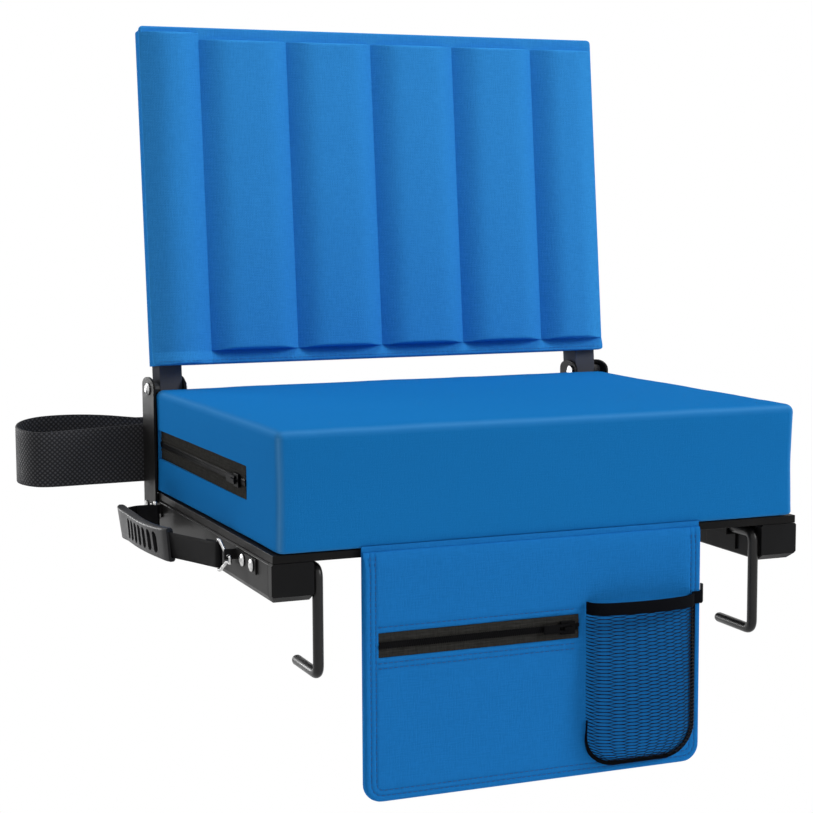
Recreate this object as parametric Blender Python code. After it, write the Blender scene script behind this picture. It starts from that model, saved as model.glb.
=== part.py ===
"""Folding bleacher seat: a foam seat on two tube rails that hook to a bench, with a padded back that folds forward.

Metres, +X to the sitter's left seen from the front, +Y to the back, +Z up. The origin is on the bench plank, in the
middle of the seat. Pieces that move are parented to an empty on their joint's axis.
"""

import math

import bmesh
import bpy
from mathutils import Matrix, Vector

# Clearances
TOUCH = 0.0003
PIVOT_CLEARANCE = 0.0003

# Seat cushion
PAD_WIDTH = 0.430
PAD_DEPTH = 0.326
PAD_EDGE_HEIGHT = 0.0885
PAD_CROWN = 0.0035
PAD_EDGE_ROUND = 0.007
PAD_BASE_ROUND = 0.003
PAD_CORNER_ROUND = 0.006
PAD_DRAWN_IN = 0.0012
COVER_THICK = 0.0015

# Rails, board and rear cross tube
FRAME_WIDTH = 0.437
RAIL_WIDTH = 0.032
RAIL_HEIGHT = 0.029
RAIL_CHAMFER = 0.005
RAIL_CHAMFER_WIDTH = 0.0035
RAIL_EDGE = 0.0012
TUBE_WALL = 0.0015
RAIL_SETBACK = 0.003
NOSE_LENGTH = 0.008
NOSE_CHAMFER = 0.0015
PLUG_LENGTH = 0.012
REAR_PLUG_LENGTH = 0.0042
REAR_CAP_THICK = 0.002
BOARD_THICK = 0.006
BOARD_SETBACK = 0.001
CROSS_TUBE = 0.020
CROSS_TUBE_FROM_REAR = 0.028
BOARD_RIVET_RADIUS = 0.0020
BOARD_RIVET_HEAD = 0.0040
BOARD_RIVET_HEAD_THICK = 0.0010
BOARD_RIVET_SPAN = 0.220

# Hinge brackets and pivots
PLATE = 0.002
EAR_TO_UPRIGHT = 0.0068
EAR_BOTTOM = 0.012
EAR_FRONT_OVERLAP = 0.004
EAR_SHOULDER = 0.002
EAR_DOME = 0.0080
WEB_RISE = 0.006
WEB_RECESS = 0.0002
INNER_EAR_GAP = 0.0025
PIVOT_ABOVE_PAD = 0.0000
PIVOT_RADIUS = 0.003
PIVOT_HEAD_RADIUS = 0.0055
PIVOT_HEAD_THICK = 0.0028
WASHER_RADIUS = 0.0055
RIVET_RADIUS = 0.0022
RIVET_HEAD_RADIUS = 0.0040
RIVET_HEAD_THICK = 0.0018
RIVET_TAIL_RADIUS = 0.0034
RIVET_TAIL_THICK = 0.0012
BRACKET_RIVET_PITCH = 0.019
BRACKET_RIVET_HEIGHT = 0.0210

# Back frame and its pad
RECLINE = math.radians(5.6)
BACK_GAP = 0.0065
UPRIGHT_WIDTH = 0.020
UPRIGHT_DEPTH = 0.0255
PIVOT_FROM_FRONT = 0.0055
UPRIGHT_TAIL = 0.0055
BACK_HEM_ABOVE_PIVOT = 0.0175
BACK_HEIGHT = 0.2955
HOOP_TOP_GAP = 0.003
BACK_COVER_THICK = 0.002
BACK_BAR = 0.018
BACK_BAR_INSET = 0.022
BACK_BOARD_THICK = 0.0025
BACK_BOARD_MARGIN = 0.012
BACK_RIVET_HEAD_THICK = 0.0010
BACK_RIVET_REACH = 0.8
CHANNELS = 6
CHANNEL_PITCH = 0.080
CHANNEL_OFFSET = -0.006
SEAM_THICK = 0.0025
CREST_THICK = 0.0105
TOP_BORDER = 0.011
HEM_BAND = 0.012
CHANNEL_TAPER = 0.016
CHANNEL_STEPS = 8
QUILT_OVERHANG = 0.0042

# Bench hooks and their saddles
ROD_RADIUS = 0.004
HOOK_FROM_FRONT = 0.0085
HOOK_ARM_LENGTH = 0.084
HOOK_ARM_BELOW_BOARD = 0.0068
HOOK_BEND = 0.008
HOOK_DROP = 0.0591
HOOK_FOOT_LENGTH = 0.052
SADDLE_SHEET = 0.0015
SADDLE_LENGTH = 0.044
SADDLE_FROM_SHANK = 0.030
SADDLE_FOOT = 0.004

# Front pouch
POUCH_WIDTH = 0.279
POUCH_OFFSET = -0.0128
POUCH_DROP = 0.187
POUCH_SEAM_RISE = 0.002
POUCH_CLOTH = 0.0012
POUCH_FRONT_DEPTH = 0.004
POUCH_FRONT_TOP = 0.004
POUCH_CORNER = 0.014
POUCH_ZIP_TO_POCKET = 0.006
POUCH_ZIP_HEIGHT = 0.0185
POUCH_ZIP_DROP = 0.061
POUCH_ZIP_MARGIN = 0.011
POUCH_ZIP_TRAVEL = 0.138
SLIDER_FROM_END = 0.010

# Mesh bottle pocket
POCKET_WIDTH = 0.096
POCKET_DROP = 0.054
POCKET_BAND = 0.0105
POCKET_BULGE_TOP = 0.014
POCKET_BULGE = 0.021
POCKET_CLOTH = 0.0012
POCKET_CORNER = 0.024
BINDING_WIDTH = 0.005
BINDING_THICK = 0.0016
POCKET_FLOOR_GAP = 0.004
POCKET_EDGE_GAP = 0.004
POCKET_FOOT = 0.030
NET_STEPS = 14

# Side zip of the cushion
SIDE_ZIP_LENGTH = 0.2445
SIDE_ZIP_HEIGHT = 0.0255
SIDE_ZIP_RISE = 0.0290
SIDE_ZIP_FROM_FRONT = 0.0745
SIDE_SLIDER_FROM_END = 0.018
SIDE_ZIP_TRAVEL = 0.185
ZIP_TAPE = 0.0010
COIL_WIDTH = 0.0050
COIL_RISE = 0.0012
SLIDER_LENGTH = 0.012
SLIDER_WIDTH = 0.010
SLIDER_TOP = 0.0010
BAIL_LENGTH = 0.008
BAIL_RISE = 0.0028
BAIL_SHEET = 0.0010
BAIL_WIDTH = 0.0020
PULL_LENGTH = 0.020
PULL_WIDTH = 0.0064
PULL_THICK = 0.0012
PULL_EYE = 0.0070

# Carry handle on the left rail
HANDLE_AXIS_OUT = 0.007
HANDLE_AXIS_HEIGHT = 0.0215
CLIP_SHEET = 0.0012
CLIP_HEIGHT = 0.0115
CLIP_EAR_BELOW_AXIS = 0.0024
CLIP_EAR_OUT = 0.0035
FRONT_CLIP_LENGTH = 0.050
FRONT_CLIP_FROM_FRONT = 0.0335
REAR_CLIP_LENGTH = 0.014
REAR_CLIP_TO_EAR = 0.001
CLIP_RIVET_PITCH = 0.0225
CLIP_RIVET_INSET = 0.0195
CLIP_RIVET_HEAD = 0.0048
REAR_CLIP_RIVET_INSET = 0.0095
REAR_CLIP_RIVET_HEAD = 0.0034
RING_WIRE = 0.0012
RING_REACH = 0.0175
RING_TURN = 0.0040
RING_LEG_DROP = 0.0048
RING_BAR_OUT = 0.003
RING_BAR_RISE = 0.0102
RING_BAR_DROP = 0.0130
RING_STRAIGHT = 0.0042
WEBBING = 0.0016
WEBBING_WIDTH = 0.0195
GRIP_LENGTH = 0.122
GRIP_OUT = 0.0338
GRIP_SAG = 0.0085
GRIP_SHIFT = 0.0195
GRIP_HEIGHT = 0.0265
GRIP_FLARE = 0.0022
GRIP_THICK = 0.0075
GRIP_SLOTS = 7
GRIP_SLOT_WIDTH = 0.0035
GRIP_SLOT_PITCH = 0.0105
GRIP_SLOT_HEIGHT = 0.0155
GRIP_SLOT_LEAN = math.radians(20.0)
WEBBING_TAIL = 0.016

# Shoulder strap
STRAP_WIDTH = 0.0508
STRAP_THICK = 0.0020
STRAP_RISE = 0.0045
STRAP_LOOP_REACH = 0.104
STRAP_LOOP_DEPTH = 0.058
STRAP_END_INSET = 0.006


# Places worked out from the sizes above
board_bottom = RAIL_HEIGHT + TOUCH
pad_bottom = board_bottom + BOARD_THICK + TOUCH
pad_front = -PAD_DEPTH / 2
pad_rear = PAD_DEPTH / 2
rail_outer = FRAME_WIDTH / 2
rail_inner = rail_outer - RAIL_WIDTH
rail_front = pad_front + RAIL_SETBACK
ear_inner_face = rail_outer + TOUCH
upright_outer = ear_inner_face - EAR_TO_UPRIGHT
upright_inner = upright_outer - UPRIGHT_WIDTH
inner_ear_outer_face = upright_inner - TOUCH
pivot_y = pad_rear + BACK_GAP + PIVOT_FROM_FRONT
pivot_z = pad_bottom + PAD_EDGE_HEIGHT + PIVOT_ABOVE_PAD
upright_behind = UPRIGHT_DEPTH - PIVOT_FROM_FRONT
web_front = pivot_y + upright_behind / math.cos(RECLINE) + WEB_RISE * math.tan(RECLINE) + TOUCH
web_rear = web_front + PLATE
ear_rear = web_rear + WEB_RECESS
ear_front = pad_rear - EAR_FRONT_OVERLAP
rail_rear = ear_rear
hook_x = rail_inner - TOUCH - ROD_RADIUS
hook_y = pad_front + HOOK_FROM_FRONT
hook_z = board_bottom - HOOK_ARM_BELOW_BOARD
pouch_axis_z = pad_bottom + POUCH_SEAM_RISE
pouch_axis_y = pad_front - TOUCH - POUCH_CLOTH / 2
pouch_left = POUCH_OFFSET - POUCH_WIDTH / 2
pouch_right = POUCH_OFFSET + POUCH_WIDTH / 2
pouch_bottom = pad_bottom - POUCH_DROP
pouch_zip_length = POUCH_WIDTH - POUCH_ZIP_MARGIN - POUCH_ZIP_TO_POCKET - POCKET_WIDTH - POCKET_EDGE_GAP
handle_x = -(rail_outer + HANDLE_AXIS_OUT)
side_zip_front = pad_front + SIDE_ZIP_FROM_FRONT
side_zip_middle = pad_bottom + SIDE_ZIP_RISE + SIDE_ZIP_HEIGHT / 2


# Materials

def make_material(name, colour, roughness, metallic=0.0):
    material = bpy.data.materials.new(name)
    material.use_nodes = True
    shader = material.node_tree.nodes["Principled BSDF"]
    shader.inputs["Base Color"].default_value = (*colour, 1.0)
    shader.inputs["Roughness"].default_value = roughness
    shader.inputs["Metallic"].default_value = metallic
    return material


for old in list(bpy.data.objects):
    bpy.data.objects.remove(old, do_unlink=True)

BLUE_CLOTH = make_material("blue_cloth", (0.012, 0.165, 0.465), 0.85)
FOAM = make_material("foam", (0.75, 0.70, 0.55), 0.95)
BLACK_STEEL = make_material("black_steel", (0.012, 0.012, 0.013), 0.40)
BLACK_BOARD = make_material("black_board", (0.020, 0.017, 0.015), 0.70)
BLACK_PLASTIC = make_material("black_plastic", (0.015, 0.015, 0.016), 0.45)
BLACK_WEBBING = make_material("black_webbing", (0.018, 0.018, 0.020), 0.90)
BLACK_NET = make_material("black_net", (0.015, 0.020, 0.030), 0.80)
ZIP_BLACK = make_material("zip_black", (0.022, 0.020, 0.019), 0.75)
BRIGHT_STEEL = make_material("bright_steel", (0.70, 0.70, 0.72), 0.28, 1.0)
NYLON = make_material("nylon", (0.70, 0.70, 0.66), 0.55)


# Shapes

def on_axis(axis, first, second, height):
    """A point whose height runs along axis and whose other two places follow in X, Y, Z order."""
    if axis == "x":
        return (height, first, second)
    if axis == "y":
        return (first, height, second)
    return (first, second, height)


def bridge(bm, ring, other, split=False):
    """Faces between two rings. Where split is set they are triangles, so that nested shells bend alike."""
    count = len(ring)
    for i in range(count):
        j = (i + 1) % count
        if split:
            bm.faces.new((ring[i], ring[j], other[j]))
            bm.faces.new((ring[i], other[j], other[i]))
        else:
            bm.faces.new((ring[i], ring[j], other[j], other[i]))


def stack(bm, rings, caps=True, split=False):
    """Joins closed rings of points, one after the next, into one body."""
    verts = [[bm.verts.new(point) for point in ring] for ring in rings]
    for ring, other in zip(verts, verts[1:]):
        bridge(bm, ring, other, split)
    if caps:
        bm.faces.new(verts[0])
        bm.faces.new(verts[-1])
    else:
        bridge(bm, verts[-1], verts[0])
    return verts


def prism(bm, outline, axis, low, high):
    rings = []
    for height in (low, high):
        rings.append([on_axis(axis, first, second, height) for first, second in outline])
    stack(bm, rings)


def hollow_prism(bm, outline, wall, axis, low, high):
    """A straight tube open at both ends: its outline is convex and runs anticlockwise."""
    inner = inset(outline, wall)
    rings = []
    for ring, height in ((outline, low), (outline, high), (inner, high), (inner, low)):
        rings.append([on_axis(axis, first, second, height) for first, second in ring])
    stack(bm, rings, caps=False)


def box(bm, x, y, z):
    prism(bm, ((x[0], y[0]), (x[1], y[0]), (x[1], y[1]), (x[0], y[1])), "z", z[0], z[1])


def inset(outline, distance):
    """A convex outline, given anticlockwise, with every side moved inwards."""
    moved = []
    for i, here in enumerate(outline):
        here = Vector(here)
        before = here - Vector(outline[i - 1])
        after = Vector(outline[(i + 1) % len(outline)]) - here
        first = Vector((-before.y, before.x)).normalized()
        second = Vector((-after.y, after.x)).normalized()
        moved.append(tuple(here + (first + second) * distance / (1 + first.dot(second))))
    return moved


def arc(centre, radii, start, end, steps):
    """Points of an ellipse's arc, with angles in degrees."""
    points = []
    for i in range(steps + 1):
        angle = math.radians(start + (end - start) * i / steps)
        points.append((centre[0] + radii[0] * math.cos(angle), centre[1] + radii[1] * math.sin(angle)))
    return points


def rounded_rectangle(low, high, radius, steps):
    """Anticlockwise from the lower right corner."""
    round_radii = (radius, radius)
    outline = arc((high[0] - radius, low[1] + radius), round_radii, -90, 0, steps)
    outline += arc((high[0] - radius, high[1] - radius), round_radii, 0, 90, steps)
    outline += arc((low[0] + radius, high[1] - radius), round_radii, 90, 180, steps)
    outline += arc((low[0] + radius, low[1] + radius), round_radii, 180, 270, steps)
    return outline


def turned(bm, profile, axis, centre, sides=12):
    """A turned solid: profile lists (radius, place along axis), and centre gives the axis in the other two."""
    rings = []
    for radius, height in profile:
        ring = []
        for i in range(sides):
            angle = 2 * math.pi * (i + 0.5) / sides
            first = centre[0] + radius * math.cos(angle)
            second = centre[1] + radius * math.sin(angle)
            ring.append(on_axis(axis, first, second, height))
        rings.append(ring)
    stack(bm, rings)


def filleted(points, radius, steps, closed=False):
    """A path with each corner replaced by an arc-like curve of the given reach."""
    path = []
    count = len(points)
    for i, here in enumerate(points):
        here = Vector(here)
        if not closed and i in (0, count - 1):
            path.append(here)
            continue
        before = Vector(points[i - 1]) - here
        after = Vector(points[(i + 1) % count]) - here
        start = here + before.normalized() * radius
        end = here + after.normalized() * radius
        for k in range(steps + 1):
            t = k / steps
            path.append(start * (1 - t) ** 2 + here * 2 * t * (1 - t) + end * t ** 2)
    return path


def tangents(path, closed):
    """The direction of travel at each point of a path."""
    count = len(path)
    directions = []
    for i in range(count):
        before = path[i - 1] if closed or i else path[0]
        after = path[(i + 1) % count] if closed or i < count - 1 else path[-1]
        directions.append((after - before).normalized())
    return directions


def rod(bm, path, radius, across, sides, closed=False):
    """A round rod along a path that lies about square to the direction across."""
    rings = []
    across = Vector(across)
    for point, along in zip(path, tangents(path, closed)):
        side = (across - along * across.dot(along)).normalized()
        other = along.cross(side)
        ring = []
        for i in range(sides):
            angle = 2 * math.pi * (i + 0.5) / sides
            ring.append(point + side * radius * math.cos(angle) + other * radius * math.sin(angle))
        rings.append(ring)
    stack(bm, rings, caps=not closed)


def band(bm, path, thick, low, high):
    """A band of webbing on edge: its path lies in plan, and its width runs from low to high in Z."""
    rings = []
    for point, along in zip(path, tangents(path, closed=False)):
        side = Vector((-along.y, along.x, 0.0)) * thick / 2
        corners = []
        for offset, height in ((side, low), (side, high), (-side, high), (-side, low)):
            corners.append((point.x + offset.x, point.y + offset.y, height))
        rings.append(corners)
    stack(bm, rings)


def smooth_path(points, steps):
    """A smooth curve through the points, as Catmull and Rom spans."""
    points = [Vector(point) for point in points]
    ends = [points[0] * 2 - points[1]] + points + [points[-1] * 2 - points[-2]]
    path = []
    for a, b, c, d in zip(ends, ends[1:], ends[2:], ends[3:]):
        for k in range(steps):
            t = k / steps
            bend = (2 * a - 5 * b + 4 * c - d) * t ** 2 + (3 * b - a - 3 * c + d) * t ** 3
            path.append((2 * b + (c - a) * t + bend) / 2)
    path.append(points[-1])
    return path


# Objects

def empty(name, place, parent=None, turn=0.0):
    """A joint's axis, with its world matrix kept on it for the pieces that ride on it."""
    axis = bpy.data.objects.new(name, None)
    axis.empty_display_size = 0.02
    bpy.context.scene.collection.objects.link(axis)
    world = Matrix.Translation(place) @ Matrix.Rotation(turn, 4, "X")
    axis.parent = parent
    axis.matrix_basis = world_of(parent).inverted() @ world
    return axis


def world_of(obj):
    """The world matrix of an empty, through its parents."""
    if obj is None:
        return Matrix()
    return world_of(obj.parent) @ obj.matrix_basis


def add_piece(name, bm, material, parent=None, local=False):
    """Makes the object. Its shape is given in the world's axes, or in its parent's where local is set."""
    if parent is not None and not local:
        bm.transform(world_of(parent).inverted())
    bmesh.ops.recalc_face_normals(bm, faces=bm.faces)
    mesh = bpy.data.meshes.new(name)
    bm.to_mesh(mesh)
    bm.free()
    mesh.materials.append(material)
    mesh.shade_smooth()
    mesh.set_sharp_from_angle(angle=math.radians(35.0))
    obj = bpy.data.objects.new(name, mesh)
    bpy.context.scene.collection.objects.link(obj)
    obj.parent = parent
    return obj


def combine(target, helper, operation):
    """Cuts the helper from the target, or joins it on, and leaves the helper as a wire guide."""
    helper.hide_render = True
    helper.display_type = "WIRE"
    modifier = target.modifiers.new(helper.name, "BOOLEAN")
    modifier.operation = operation
    modifier.object = helper
    modifier.solver = "EXACT"


def mirrored(outline, side):
    """An outline whose first place is X, on the right (side 1) or on the left (side -1), still anticlockwise."""
    if side > 0:
        return list(outline)
    return [(-first, second) for first, second in reversed(outline)]


def span(low, high, side):
    """A stretch of X on the right, or its mirror image on the left."""
    return (low, high) if side > 0 else (-high, -low)


SIDES = (("left", -1), ("right", 1))

# Rails with their end caps, the base board and the rear cross tube
rail_outline = [
    (rail_inner, RAIL_EDGE), (rail_inner + RAIL_EDGE, 0.0), (rail_outer - RAIL_CHAMFER_WIDTH, 0.0),
    (rail_outer, RAIL_CHAMFER), (rail_outer, RAIL_HEIGHT - RAIL_EDGE), (rail_outer - RAIL_EDGE, RAIL_HEIGHT),
    (rail_inner + RAIL_EDGE, RAIL_HEIGHT), (rail_inner, RAIL_HEIGHT - RAIL_EDGE),
]
nose_outline = [
    (rail_inner, RAIL_CHAMFER + RAIL_EDGE), (rail_inner + RAIL_EDGE, RAIL_CHAMFER),
    (rail_outer - NOSE_CHAMFER, RAIL_CHAMFER), (rail_outer, RAIL_CHAMFER + NOSE_CHAMFER), (rail_outer, RAIL_HEIGHT - RAIL_EDGE), (rail_outer - RAIL_EDGE, RAIL_HEIGHT),
    (rail_inner + RAIL_EDGE, RAIL_HEIGHT), (rail_inner, RAIL_HEIGHT - RAIL_EDGE),
]
tube_front = rail_front + NOSE_LENGTH + TOUCH
tube_rear = rail_rear - REAR_CAP_THICK - TOUCH
bracket_rivet_first = (ear_front + ear_rear - BRACKET_RIVET_PITCH) / 2
bracket_rivet_places = [bracket_rivet_first, bracket_rivet_first + BRACKET_RIVET_PITCH]
board_rivet_x = rail_outer - RAIL_WIDTH / 2
board_rivet_places = [-BOARD_RIVET_SPAN / 2, BOARD_RIVET_SPAN / 2]
front_clip_start = rail_front + FRONT_CLIP_FROM_FRONT
front_clip_end = front_clip_start + FRONT_CLIP_LENGTH
rear_clip_end = ear_front - REAR_CLIP_TO_EAR
rear_clip_start = rear_clip_end - REAR_CLIP_LENGTH
front_clip_rivets = [front_clip_end - CLIP_RIVET_INSET - CLIP_RIVET_PITCH, front_clip_end - CLIP_RIVET_INSET]
rear_clip_rivet = rear_clip_end - REAR_CLIP_LENGTH + REAR_CLIP_RIVET_INSET


def rivet_profile(head_face, head_thick, tail_face, direction, head, radius, tail):
    """A rivet along one axis: a domed head on head_face, and a set tail on tail_face."""
    out = direction * head_thick
    back = -direction * RIVET_TAIL_THICK
    return [
        (head * 0.55, head_face + out), (head, head_face + out * 0.45), (head, head_face),
        (radius, head_face), (radius, tail_face), (tail, tail_face), (tail, tail_face + back),
    ]


def add_holes(target, bores):
    """Cuts round bores: each is (axis, centre, low, high, radius)."""
    bm = bmesh.new()
    for axis, centre, low, high, radius in bores:
        turned(bm, [(radius, low), (radius, high)], axis, centre)
    combine(target, add_piece(target.name + "_bores", bm, BLACK_STEEL), "DIFFERENCE")


for side_name, side in SIDES:
    bm = bmesh.new()
    hollow_prism(bm, mirrored(rail_outline, side), TUBE_WALL, "y", tube_front, tube_rear)
    rail = add_piece("rail_" + side_name, bm, BLACK_STEEL)
    wall_stretch = span(rail_outer - 2 * TUBE_WALL, rail_outer + TUBE_WALL, side)
    bores = []
    rivet_hole = RIVET_RADIUS + TOUCH
    for place in bracket_rivet_places:
        bores.append(("x", (place, BRACKET_RIVET_HEIGHT), *wall_stretch, rivet_hole))
    if side < 0:
        for place in front_clip_rivets + [rear_clip_rivet]:
            bores.append(("x", (place, HANDLE_AXIS_HEIGHT), *wall_stretch, rivet_hole))
    for place in board_rivet_places:
        top_stretch = (RAIL_HEIGHT - 2 * TUBE_WALL, RAIL_HEIGHT + TUBE_WALL)
        bores.append(("z", (side * board_rivet_x, place), *top_stretch, BOARD_RIVET_RADIUS + TOUCH))
    add_holes(rail, bores)

    outline = mirrored(rail_outline, side)
    plug = inset(outline, TUBE_WALL + TOUCH)
    rings = []
    for ring, height in (
        (mirrored(nose_outline, side), rail_front), (outline, rail_front + NOSE_LENGTH),
        (plug, rail_front + NOSE_LENGTH), (plug, rail_front + NOSE_LENGTH + PLUG_LENGTH),
    ):
        rings.append([on_axis("y", first, second, height) for first, second in ring])
    bm = bmesh.new()
    stack(bm, rings)
    add_piece("front_cap_" + side_name, bm, BLACK_PLASTIC)
    rings = []
    for ring, height in (
        (outline, rail_rear), (outline, rail_rear - REAR_CAP_THICK),
        (plug, rail_rear - REAR_CAP_THICK), (plug, rail_rear - REAR_CAP_THICK - REAR_PLUG_LENGTH),
    ):
        rings.append([on_axis("y", first, second, height) for first, second in ring])
    bm = bmesh.new()
    stack(bm, rings)
    add_piece("rear_cap_" + side_name, bm, BLACK_PLASTIC)

cross_bm = bmesh.new()
cross_rear = rail_rear - CROSS_TUBE_FROM_REAR
cross_low = (RAIL_HEIGHT - CROSS_TUBE) / 2
cross_outline = [
    (cross_rear - CROSS_TUBE, cross_low), (cross_rear, cross_low),
    (cross_rear, cross_low + CROSS_TUBE), (cross_rear - CROSS_TUBE, cross_low + CROSS_TUBE),
]
cross_reach = rail_inner - TOUCH
hollow_prism(cross_bm, cross_outline, TUBE_WALL, "x", -cross_reach, cross_reach)
add_piece("rear_cross_tube", cross_bm, BLACK_STEEL)

board_top = board_bottom + BOARD_THICK
head_seat = board_top - BOARD_RIVET_HEAD_THICK
bm = bmesh.new()
board_half = rail_outer - BOARD_SETBACK
box(bm, (-board_half, board_half), (rail_front, pad_rear), (board_bottom, board_top))
base_board = add_piece("base_board", bm, BLACK_BOARD)
hole_bm = bmesh.new()
for side_name, side in SIDES:
    for end_name, place in zip(("front", "rear"), board_rivet_places):
        centre = (side * board_rivet_x, place)
        hole = BOARD_RIVET_RADIUS + TOUCH
        head_hole = BOARD_RIVET_HEAD + TOUCH
        below = board_bottom - BOARD_THICK
        above = board_top + BOARD_THICK
        seat = head_seat - TOUCH
        turned(hole_bm, [(hole, below), (hole, seat), (head_hole, seat), (head_hole, above)], "z", centre)
        tail_face = RAIL_HEIGHT - TUBE_WALL - TOUCH
        bm = bmesh.new()
        turned(bm, [
            (BOARD_RIVET_HEAD, board_top), (BOARD_RIVET_HEAD, head_seat), (BOARD_RIVET_RADIUS, head_seat),
            (BOARD_RIVET_RADIUS, tail_face), (RIVET_TAIL_RADIUS, tail_face),
            (RIVET_TAIL_RADIUS, tail_face - RIVET_TAIL_THICK),
        ], "z", centre)
        add_piece("board_rivet_" + side_name + "_" + end_name, bm, BRIGHT_STEEL)
combine(base_board, add_piece("base_board_bores", hole_bm, BLACK_BOARD), "DIFFERENCE")

# Hinge brackets: an outer ear on the rail, an inner ear and a rear web on top of the rail
ear_middle = (ear_front + ear_rear) / 2
ear_half = (ear_rear - ear_front) / 2
shoulder = pivot_z + EAR_SHOULDER
dome = arc((ear_middle, shoulder), (ear_half, EAR_DOME), 0, 180, 12)
outer_ear = [(ear_front, EAR_BOTTOM), (ear_rear, EAR_BOTTOM)] + dome
inner_front = pad_rear + INNER_EAR_GAP
inner_middle = (inner_front + ear_rear) / 2
inner_half = (ear_rear - inner_front) / 2
inner_dome = arc((inner_middle, shoulder), (inner_half, EAR_DOME), 0, 180, 12)
inner_ear = [(inner_front, RAIL_HEIGHT + TOUCH), (ear_rear, RAIL_HEIGHT + TOUCH)] + inner_dome
strap_middle = pad_bottom + STRAP_RISE + STRAP_WIDTH / 2
strap_rivet_x = (inner_ear_outer_face + ear_inner_face) / 2
for side_name, side in SIDES:
    bm = bmesh.new()
    prism(bm, outer_ear, "x", *span(ear_inner_face, ear_inner_face + PLATE, side))
    bracket = add_piece("bracket_" + side_name, bm, BLACK_STEEL)
    bm = bmesh.new()
    web_x = span(inner_ear_outer_face - PLATE / 2, ear_inner_face + PLATE / 2, side)
    box(bm, web_x, (web_front, web_rear), (RAIL_HEIGHT + TOUCH + WEB_RECESS, pivot_z + WEB_RISE))
    combine(bracket, add_piece("bracket_web_" + side_name, bm, BLACK_STEEL), "UNION")
    bm = bmesh.new()
    prism(bm, inner_ear, "x", *span(inner_ear_outer_face - PLATE, inner_ear_outer_face, side))
    combine(bracket, add_piece("bracket_ear_" + side_name, bm, BLACK_STEEL), "UNION")
    across = span(inner_ear_outer_face - 2 * PLATE, ear_inner_face + 2 * PLATE, side)
    outer_wall = span(ear_inner_face - PLATE / 2, ear_inner_face + 2 * PLATE, side)
    bores = [("x", (pivot_y, pivot_z), *across, PIVOT_RADIUS + PIVOT_CLEARANCE)]
    for place in bracket_rivet_places:
        bores.append(("x", (place, BRACKET_RIVET_HEIGHT), *outer_wall, RIVET_RADIUS + TOUCH))
    strap_centre = (side * strap_rivet_x, strap_middle)
    bores.append(("y", strap_centre, web_front - PLATE, web_rear + PLATE, RIVET_RADIUS + TOUCH))
    add_holes(bracket, bores)

    outer_face = side * (ear_inner_face + PLATE + TOUCH)
    inner_face = side * (inner_ear_outer_face - PLATE - TOUCH)
    out = side * PIVOT_HEAD_THICK
    bm = bmesh.new()
    turned(bm, [
        (PIVOT_HEAD_RADIUS * 0.55, outer_face + out), (PIVOT_HEAD_RADIUS, outer_face + out * 0.4),
        (PIVOT_HEAD_RADIUS, outer_face), (PIVOT_RADIUS, outer_face), (PIVOT_RADIUS, inner_face),
        (PIVOT_HEAD_RADIUS, inner_face), (PIVOT_HEAD_RADIUS, inner_face - out * 0.6),
    ], "x", (pivot_y, pivot_z))
    add_piece("pivot_rivet_" + side_name, bm, BRIGHT_STEEL)
    stretch = (side * (upright_outer + TOUCH), side * (ear_inner_face - TOUCH))
    rings = []
    for radius, height in (
        (WASHER_RADIUS, stretch[0]), (WASHER_RADIUS, stretch[1]),
        (PIVOT_RADIUS + PIVOT_CLEARANCE, stretch[1]), (PIVOT_RADIUS + PIVOT_CLEARANCE, stretch[0]),
    ):
        circle = arc((pivot_y, pivot_z), (radius, radius), 0, 330, 11)
        rings.append([on_axis("x", first, second, height) for first, second in circle])
    bm = bmesh.new()
    stack(bm, rings, caps=False)
    add_piece("pivot_washer_" + side_name, bm, NYLON)
    tail = side * (rail_outer - TUBE_WALL - TOUCH)
    for end_name, place in zip(("front", "rear"), bracket_rivet_places):
        profile = rivet_profile(
            outer_face, RIVET_HEAD_THICK, tail, side, RIVET_HEAD_RADIUS, RIVET_RADIUS, RIVET_TAIL_RADIUS)
        bm = bmesh.new()
        turned(bm, profile, "x", (place, BRACKET_RIVET_HEIGHT))
        add_piece("bracket_rivet_" + side_name + "_" + end_name, bm, BRIGHT_STEEL)
    strap_face = ear_rear + TOUCH + STRAP_THICK + TOUCH
    profile = rivet_profile(
        strap_face, RIVET_HEAD_THICK, web_front - TOUCH, 1, RIVET_HEAD_RADIUS, RIVET_RADIUS, RIVET_TAIL_RADIUS)
    bm = bmesh.new()
    turned(bm, profile, "y", strap_centre)
    add_piece("strap_rivet_" + side_name, bm, BLACK_STEEL)


# Seat cushion: a foam block in a sewn cover that is open underneath
def pad_outline(inwards, drawn):
    """The cushion's plan, moved inwards, with its sides drawn in between the corners."""
    half = Vector((PAD_WIDTH / 2 - inwards, PAD_DEPTH / 2 - inwards))
    radius = max(PAD_CORNER_ROUND - inwards, PAD_CORNER_ROUND * 0.1)
    corner_steps = 4
    side_steps = 4
    outline = rounded_rectangle(-half, half, radius, corner_steps)
    points = []
    for i, here in enumerate(outline):
        points.append(here)
        if i % (corner_steps + 1) == corner_steps:
            here = Vector(here)
            there = Vector(outline[(i + 1) % len(outline)])
            inward = -Vector(((there - here).y, -(there - here).x)).normalized()
            for k in range(1, side_steps):
                t = k / side_steps
                points.append(tuple(here.lerp(there, t) + inward * drawn * 4 * t * (1 - t)))
    return points


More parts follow.
